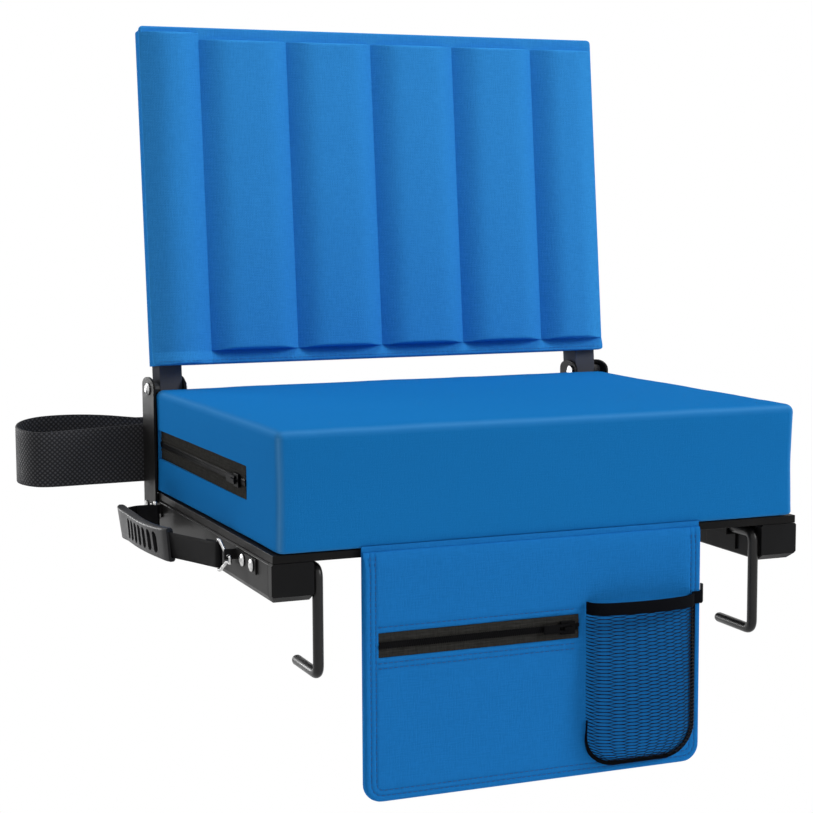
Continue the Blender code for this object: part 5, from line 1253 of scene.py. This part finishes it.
net_thread = coated("net_polyester", NET_BLACK, NET_WORN, 0.08, 3000.0, 0.00005, 0.5)
bm = bmesh.new()
strand_count = int((NET_TOP - NET_FLOOR) / NET_PITCH)
shaker = random.Random(7)
for number in range(strand_count):
    level = NET_TOP - NET_PITCH * (number + 0.5)
    sign = 1 if number % 2 else -1
    slack = shaker.uniform(-NET_SLACK, NET_SLACK)
    path = []
    for i, (x, y) in enumerate(net_curve(level, NET_STEPS)):
        wave = math.cos(2 * math.pi * (i / NET_STEPS * NET_CELLS / 2 + 0.02 * slack))
        wave = math.copysign(abs(wave) ** NET_WAVE_SQUARENESS, wave)
        path.append(Vector((x, y, level + sign * wave * NET_PITCH * NET_WAVE_REACH)))
    rod(bm, path, NET_THREAD, (0, 0, 1), 4)
add_piece("pocket_net", bm, net_thread, "pouch", ["mesh_pocket"], crease=80.0)

web_colours = {"Thread": NET_BLACK, "Shade": NET_WORN}
web_group, given = start_group("webbing_weave", web_colours, {"Rib": 700.0, "Depth": 0.00025})
tree = web_group
run_map = add_node(tree, "UVMap", uv_map="run").outputs[0]
split = add_node(tree, "SeparateXYZ", {0: run_map}).outputs
long_turn = turns(tree, split["X"], given["Rib"])
cross_turn = turns(tree, split["Y"], given["Rib"])
slant = calc(tree, "SINE", calc(tree, "ADD", long_turn, cross_turn))
counter = calc(tree, "SINE", calc(tree, "SUBTRACT", long_turn, cross_turn))
ribs = calc(tree, "ABSOLUTE", calc(tree, "MULTIPLY", slant, counter))
fluff = calc(tree, "MULTIPLY", speckle(tree, object_places(tree), FLUFF_SCALE, 3.0), FLUFF_LIGHT)
lit = calc(tree, "MULTIPLY_ADD", calc(tree, "POWER", ribs, RIB_SHARPNESS), RIB_LIGHT, fluff)
shade = mix_colour(tree, calc(tree, "MINIMUM", lit, 1.0), given["Shade"], given["Thread"])
rough = calc(tree, "MULTIPLY_ADD", ribs, -RIB_GLOSS, WEBBING_ROUGHNESS)
end_group(tree, shade, rough, bumped(tree, ribs, given["Depth"]))


def webbing(name, thread_colour, shade_colour, rib, shine=0.12):
    """A woven band, with its weave along the map named run."""
    inputs = {"Thread": thread_colour, "Shade": shade_colour, "Rib": rib}
    return finish_material(name, web_group, inputs, shine)


def left_of(along):
    """The direction square to along in plan, to its left."""
    return Vector((-along.y, along.x, 0.0))


def band(path, thick, low, high):
    """The mesh of a band on edge along a path in plan. It is rounded at its edges,
    and its map named run holds each point's run and height."""
    bm = bmesh.new()
    layer = bm.loops.layers.uv.new("run")
    half = thick / 2
    edge = half * BAND_EDGE
    levels = [low + edge + (high - low - 2 * edge) * k / BAND_STEPS for k in range(1, BAND_STEPS)]
    section = [(-1.0, low + edge), (-BAND_FLAT, low), (BAND_FLAT, low), (1.0, low + edge)]
    section += [(1.0, level) for level in levels]
    section += [(1.0, high - edge), (BAND_FLAT, high), (-BAND_FLAT, high), (-1.0, high - edge)]
    section += [(-1.0, level) for level in reversed(levels)]
    distance = 0.0
    rings = []
    for i, (point, along) in enumerate(zip(path, tangents(path))):
        if i:
            distance += (point - path[i - 1]).length
        side = left_of(along).normalized()
        ring = []
        for share, height in section:
            place = point + side * half * share
            ring.append((bm.verts.new((place.x, place.y, height)), (distance, height)))
        rings.append(ring)

    def add_face(corners):
        face = bm.faces.new([vert for vert, place in corners])
        for loop, (vert, place) in zip(face.loops, corners):
            loop[layer].uv = place

    count = len(section)
    for ring, other in zip(rings, rings[1:]):
        for i in range(count):
            j = (i + 1) % count
            add_face((ring[i], ring[j], other[j], other[i]))
    add_face(rings[0])
    add_face(rings[-1])
    return bm


pocket_band_cloth = webbing("pocket_band_webbing", POCKET_BAND_BLACK, POCKET_BAND_SHADE, 900.0, 0.03)
band_y = NET_BASE - BAND_THICK * BAND_OUT
wrap_x = POUCH_RIGHT + WRAP_GAP
band_path = [Vector((x, y - BAND_THICK / 2, 0.0)) for x, y in net_curve(NET_TOP, 40)]
band_path = band_path[:-1] + [Vector((POCKET_RIGHT - 0.004, band_y, 0.0))]
wrap = [(POCKET_RIGHT - 0.001, band_y, 0.0), (wrap_x, band_y, 0.0), (wrap_x, POUCH_RIM, 0.0)]
band_path += filleted(wrap, WRAP_BEND, 3)
bm = band(band_path, BAND_THICK, BAND_BOTTOM, POCKET_TOP)
add_piece("pocket_band", bm, pocket_band_cloth, "pouch", ["mesh_pocket_band"])
tab_cloth = webbing("pocket_tab_webbing", TAB_GREY, TAB_SHADE, 900.0)
tab_x = wrap_x + BAND_THICK * TAB_OUT
tab_path = [Vector((tab_x, POUCH_RIM - front, 0.0)) for front in (TAB_FRONT, TAB_REAR)]
bm = band(tab_path, BAND_THICK * TAB_THICK_SHARE, BAND_BOTTOM + TAB_FOOT, POCKET_TOP + TAB_RISE)
add_piece("pocket_tab", bm, tab_cloth, "pouch")

turn_radius = NET_CORNER + SEWN_GAP + BINDING_WIDTH / 2
turn_z = NET_FLOOR + NET_CORNER
binding_line = [(net_middle - NET_HALF - SEWN_GAP - BINDING_WIDTH / 2, turn_z + BINDING_RISE)]
binding_line += arc((net_middle - NET_HALF + NET_CORNER, turn_z), turn_radius, 180, 270, 12)
binding_line += arc((net_middle + NET_HALF - NET_CORNER, turn_z), turn_radius, 270, 360, 12)
binding_line += [(net_middle + NET_HALF + SEWN_GAP + BINDING_WIDTH / 2, NET_TOP)]
binding_path = [Vector((x, 0.0, z)) for x, z in binding_line]
bm = bmesh.new()
layer = bm.loops.layers.uv.new("run")
rings = []
for point, along in zip(binding_path, tangents(binding_path)):
    shown_share = 1.0
    if point.x < net_middle:
        faded = clamped((turn_z + BINDING_FADE_FROM - point.z) / BINDING_FADE)
        shown_share = BINDING_SHOWN + (1 - BINDING_SHOWN) * faded
    hidden_share = 1.0 - shown_share
    inwards = Vector((-along.z, 0.0, along.x))
    step = inwards * BINDING_WIDTH / 2 * shown_share
    under_net = (BINDING_WIDTH * 0.25 + BINDING_UNDER) * hidden_share / (1 - BINDING_SHOWN)
    point = point + inwards * (BINDING_WIDTH / 2 * hidden_share + under_net)
    ring = []
    for share, depth in BINDING_SECTION:
        ring.append((point.x + step.x * share, NET_BASE - BINDING_THICK * depth, point.z + step.z * share))
    rings.append(ring)
stack(bm, rings)
for face in bm.faces:
    for loop in face.loops:
        loop[layer].uv = (loop.vert.co.x + loop.vert.co.z, loop.vert.co.x - loop.vert.co.z)
add_piece("pocket_binding", bm, pocket_band_cloth, "pouch", ["mesh_binding"])

# Carry handle: two bent wire rings in the rail's clips, a webbing looped through both,
# and a slotted grip of black plastic moulded round the webbing.
RING_WIRE = 0.0012
RING_REACH = 0.0175
RING_TURN = 0.0040
RING_LEG_DROP = 0.0048
RING_BAR_RISE = 0.0102
RING_BAR_DROP = 0.0130
RING_STRAIGHT = 0.0042
RING_BEND = 1.5
HANDLE_X = -0.2255
HANDLE_Z = 0.0215
RING_BAR_X = -0.2285
WEBBING_THICK = 0.0016
WEBBING_WIDTH = 0.0195
WEBBING_TAIL = 0.016
WEBBING_GAP = 0.0003
WEBBING_BLACK = (0.0075, 0.0075, 0.008, 1.0)
WEBBING_SHADE = (0.003, 0.003, 0.0035, 1.0)
MAIN_STEPS = 10
REAR_BEND = Vector((-0.18, 0.5, 0.0))
REAR_BEND_SHARE = 0.55
GRIP_BLACK = (0.034, 0.034, 0.036, 1.0)
GRIP_WORN = (0.052, 0.052, 0.055, 1.0)
GRIP_LENGTH = 0.122
GRIP_OUT = 0.0338
GRIP_SAG = 0.0085
GRIP_REAR_SAG = 0.0010
GRIP_SHIFT = 0.0195
GRIP_HEIGHT = 0.0228
GRIP_FLARE = 0.0012
GRIP_THICK = 0.0075
GRIP_SLOTS = 7
GRIP_SLOT_WIDTH = 0.0074
GRIP_SLOT_PITCH = 0.0112
GRIP_SLOT_HEIGHT = 0.0160
GRIP_SLOT_SHIFT = -0.010
GRIP_SHEAR = (0.32, 0.80)
GRIP_LIP = 0.0016
GRIP_SLOT_LEAN = math.tan(math.radians(20.0))
GRIP_SLOT_CURVE = 0.35
GRIP_SLOT_ROUND = 0.45
GRIP_ROUND = 0.3
GRIP_HOLLOW_ROUND = 0.0002
GRIP_END_SLIM = 0.35
bars = []
for end_name, direction in (("front", 1), ("rear", -1)):
    ring_low, ring_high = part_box("handle_ring_" + end_name)
    bar_y = ring_high.y - RING_WIRE if direction > 0 else ring_low.y + RING_WIRE
    ear_y = bar_y - direction * RING_REACH
    near = ear_y + direction * RING_TURN
    far_side = ear_y - direction * RING_TURN
    turn_y = bar_y - direction * RING_STRAIGHT
    bars.append(Vector((RING_BAR_X, bar_y, 0.0)))
    bar_top = HANDLE_Z + RING_BAR_RISE
    bar_low = HANDLE_Z - RING_BAR_DROP
    leg = HANDLE_Z - RING_LEG_DROP
    corners = [
        (HANDLE_X, far_side, HANDLE_Z), (HANDLE_X, near, HANDLE_Z), (RING_BAR_X, turn_y, bar_top),
        (RING_BAR_X, bar_y, bar_top), (RING_BAR_X, bar_y, bar_low), (RING_BAR_X, turn_y, bar_low),
        (HANDLE_X, near, leg), (HANDLE_X, far_side, leg),
    ]
    bm = bmesh.new()
    ring_path = filleted(corners, RING_BEND * RING_WIRE, 5, closed=True)
    rod(bm, ring_path, RING_WIRE, (1, 0, 0), 12, closed=True)
    add_piece("wire_ring_" + end_name, bm, zinc, "handle", ["handle_ring_" + end_name])


def smooth_path(points, steps):
    """A smooth curve through the points, as Catmull and Rom spans."""
    points = [Vector(point) for point in points]
    ends = [points[0] * 2 - points[1]] + points + [points[-1] * 2 - points[-2]]
    path = []
    for a, b, c, d in zip(ends, ends[1:], ends[2:], ends[3:]):
        for k in range(steps):
            t = k / steps
            bend = (2 * a - 5 * b + 4 * c - d) * t ** 2 + (3 * b - a - 3 * c + d) * t ** 3
            path.append((2 * b + (c - a) * t + bend) / 2)
    path.append(points[-1])
    return path


def bar_loop(bar, toward, out_sign):
    """The webbing's turn about a ring's bar: its tail, then the turn, ending on the main run."""
    radius = RING_WIRE + WEBBING_GAP + WEBBING_THICK / 2
    along = (toward - bar).normalized()
    out = left_of(along) * out_sign
    points = [bar + along * WEBBING_TAIL - out * radius * 0.9]
    for angle in range(0, 181, 20):
        turn = math.radians(angle)
        points.append(bar - out * radius * math.cos(turn) - along * radius * math.sin(turn))
    return points


webbing_z = HANDLE_Z + (RING_BAR_RISE - RING_BAR_DROP) / 2
grip_middle = (bars[0].y + bars[1].y) / 2 + GRIP_SHIFT
grip_points = []
for share in (-1.0, -0.5, 0.0, 0.5, 1.0):
    out = GRIP_OUT - (GRIP_SAG if share < 0 else GRIP_REAR_SAG) * share ** 2
    grip_points.append(Vector((HANDLE_X - out, grip_middle + share * GRIP_LENGTH / 2, 0.0)))
front_turn = bar_loop(bars[0], grip_points[0], 1)
rear_span = bars[1].x - grip_points[-1].x
rear_bend = (grip_points[-1] + bars[1]) / 2 + REAR_BEND * rear_span * REAR_BEND_SHARE
rear_turn = bar_loop(bars[1], rear_bend, -1)
front_run = front_turn[-1].lerp(grip_points[0], 0.5)
main_run = smooth_path([front_turn[-1], front_run] + grip_points + [rear_bend, rear_turn[-1]], MAIN_STEPS)
webbing_path = front_turn[:-1] + main_run + list(reversed(rear_turn[:-1]))
handle_web = webbing("handle_webbing_weave", WEBBING_BLACK, WEBBING_SHADE, 800.0)
bm = band(webbing_path, WEBBING_THICK, webbing_z - WEBBING_WIDTH / 2, webbing_z + WEBBING_WIDTH / 2)
add_piece("carry_webbing", bm, handle_web, "handle", ["handle_webbing"])

grip_plastic = coated("grip_plastic", GRIP_BLACK, GRIP_WORN, 0.2, 1600.0, 0.00005, 0.36)
grip_path = main_run[2 * MAIN_STEPS:6 * MAIN_STEPS + 1]
grip_ways = tangents(grip_path)
grip_last = len(grip_path) - 1


def rounded_section(half_across, half_up, radius):
    """A rectangle with round corners, about its middle."""
    points = []
    for x_sign, z_sign, start in ((1, -1, -90), (1, 1, 0), (-1, 1, 90), (-1, -1, 180)):
        centre = (x_sign * (half_across - radius), z_sign * (half_up - radius))
        points += arc(centre, radius, start, start + 90, 4)
    return points


hollow_half = (WEBBING_THICK / 2 + WEBBING_GAP, WEBBING_WIDTH / 2 + WEBBING_GAP)
hollow = rounded_section(*hollow_half, GRIP_HOLLOW_ROUND)
outer_rings = []
inner_rings = []
for i, (point, along) in enumerate(zip(grip_path, grip_ways)):
    out = left_of(along)
    share = abs(2 * i / grip_last - 1)
    half_up = GRIP_HEIGHT / 2 + GRIP_FLARE * share ** 3
    slim = 1.0 - GRIP_END_SLIM * max(share - 0.94, 0.0) / 0.06
    shear = GRIP_SHEAR[0 if i < grip_last / 2 else 1] * share ** 2
    shell = rounded_section(GRIP_THICK / 2 * slim, half_up, GRIP_THICK * GRIP_ROUND)
    for rings, section, lip_reach in ((outer_rings, shell, GRIP_LIP), (inner_rings, hollow, 0.0)):
        ring = []
        for across, up in section:
            lip = lip_reach * max(abs(up) / half_up - 0.55, 0.0) / 0.45 if across > 0 else 0.0
            place = point + out * (across + lip) + Vector((0.0, up * shear, 0.0))
            ring.append((place.x, place.y, webbing_z + up))
        rings.append(ring)
bm = bmesh.new()
stack(bm, outer_rings + list(reversed(inner_rings)), caps=False)
grip = add_piece("carry_grip", bm, grip_plastic, "handle", ["handle_grip"])
bm = bmesh.new()
grip_centre = grip_path[grip_last // 2]
slot_round = GRIP_SLOT_WIDTH * GRIP_SLOT_ROUND
slot_section = rounded_section(GRIP_SLOT_WIDTH / 2, GRIP_SLOT_HEIGHT / 2, slot_round)
for k in range(GRIP_SLOTS):
    shift = (k - (GRIP_SLOTS - 1) / 2) * GRIP_SLOT_PITCH + GRIP_SLOT_SHIFT
    nearest = min(range(len(grip_path)), key=lambda i: abs(grip_path[i].y - grip_centre.y - shift))
    along = grip_ways[nearest]
    out = left_of(along)
    at = grip_path[nearest] + along * (shift - (grip_path[nearest].y - grip_centre.y)) / along.y
    rings = []
    for depth in (0.0, GRIP_THICK):
        ring = []
        for across, up in slot_section:
            curve = GRIP_SLOT_CURVE * (up / GRIP_SLOT_HEIGHT) ** 2 * GRIP_SLOT_HEIGHT
            place = at + out * depth + along * (across + up * GRIP_SLOT_LEAN + curve)
            ring.append((place.x, place.y, webbing_z + up))
        rings.append(ring)
    stack(bm, rings)
cut(grip, bm)

# Shoulder strap: 50 mm polypropylene webbing, riveted to both hinge brackets behind the back,
# with its slack in one loop out to the left.
STRAP_Y = 0.19948
STRAP_START = 0.1977
STRAP_EDGE = 0.2208
STRAP_LOOP_END = -0.3248
STRAP_LOOP_DEPTH = 0.070
STRAP_REAR_LIFT = 0.008
STRAP_END_DROP = 0.0035
STRAP_THICK = 0.0020
STRAP_GREY = (0.085, 0.086, 0.092, 1.0)
STRAP_SHADE = (0.009, 0.009, 0.011, 1.0)
strap_low, strap_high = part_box("shoulder_strap")
strap_points = [
    (-STRAP_START, STRAP_Y), (-(STRAP_START + STRAP_EDGE) / 2, STRAP_Y), (-STRAP_EDGE, STRAP_Y),
    (STRAP_LOOP_END * 0.45 - STRAP_EDGE * 0.55, STRAP_Y - STRAP_THICK),
    (STRAP_LOOP_END * 0.88 - STRAP_EDGE * 0.12, STRAP_Y),
    (STRAP_LOOP_END, STRAP_Y + STRAP_LOOP_DEPTH * 0.5),
    (STRAP_LOOP_END * 0.86 - STRAP_EDGE * 0.14, STRAP_Y + STRAP_LOOP_DEPTH * 0.93),
    (STRAP_LOOP_END * 0.4 - STRAP_EDGE * 0.6, STRAP_Y + STRAP_LOOP_DEPTH * 0.88),
    (-STRAP_EDGE * 0.6, STRAP_Y + STRAP_LOOP_DEPTH * 0.58), (0.0, STRAP_Y + STRAP_LOOP_DEPTH * 0.36),
    (STRAP_EDGE * 0.65, STRAP_Y + STRAP_LOOP_DEPTH * 0.14), (STRAP_START, STRAP_Y), (STRAP_EDGE, STRAP_Y),
]
strap_path = smooth_path([(x, y, 0.0) for x, y in strap_points], 12)
for point in strap_path:
    if abs(point.x) < STRAP_EDGE + STRAP_THICK:
        point.y = max(point.y, STRAP_Y)
strap_web = webbing("strap_webbing_weave", STRAP_GREY, STRAP_SHADE, 235.0)
bm = band(strap_path, STRAP_THICK, strap_low.z, strap_high.z)
for vert in bm.verts:
    rear = clamped((vert.co.y - STRAP_Y) / STRAP_LOOP_DEPTH)
    out_left = clamped((-vert.co.x - STRAP_EDGE) / (-STRAP_LOOP_END - STRAP_EDGE))
    height = (vert.co.z - strap_low.z) / (strap_high.z - strap_low.z)
    swell = math.sin(math.pi * min(0.35 + out_left * 0.65, 1.0))
    vert.co.z += STRAP_REAR_LIFT * rear * swell * out_left ** 0.5
    vert.co.z -= STRAP_END_DROP * out_left * (1.0 - rear) * height
add_piece("strap_webbing", bm, strap_web, "seat", ["shoulder_strap"])
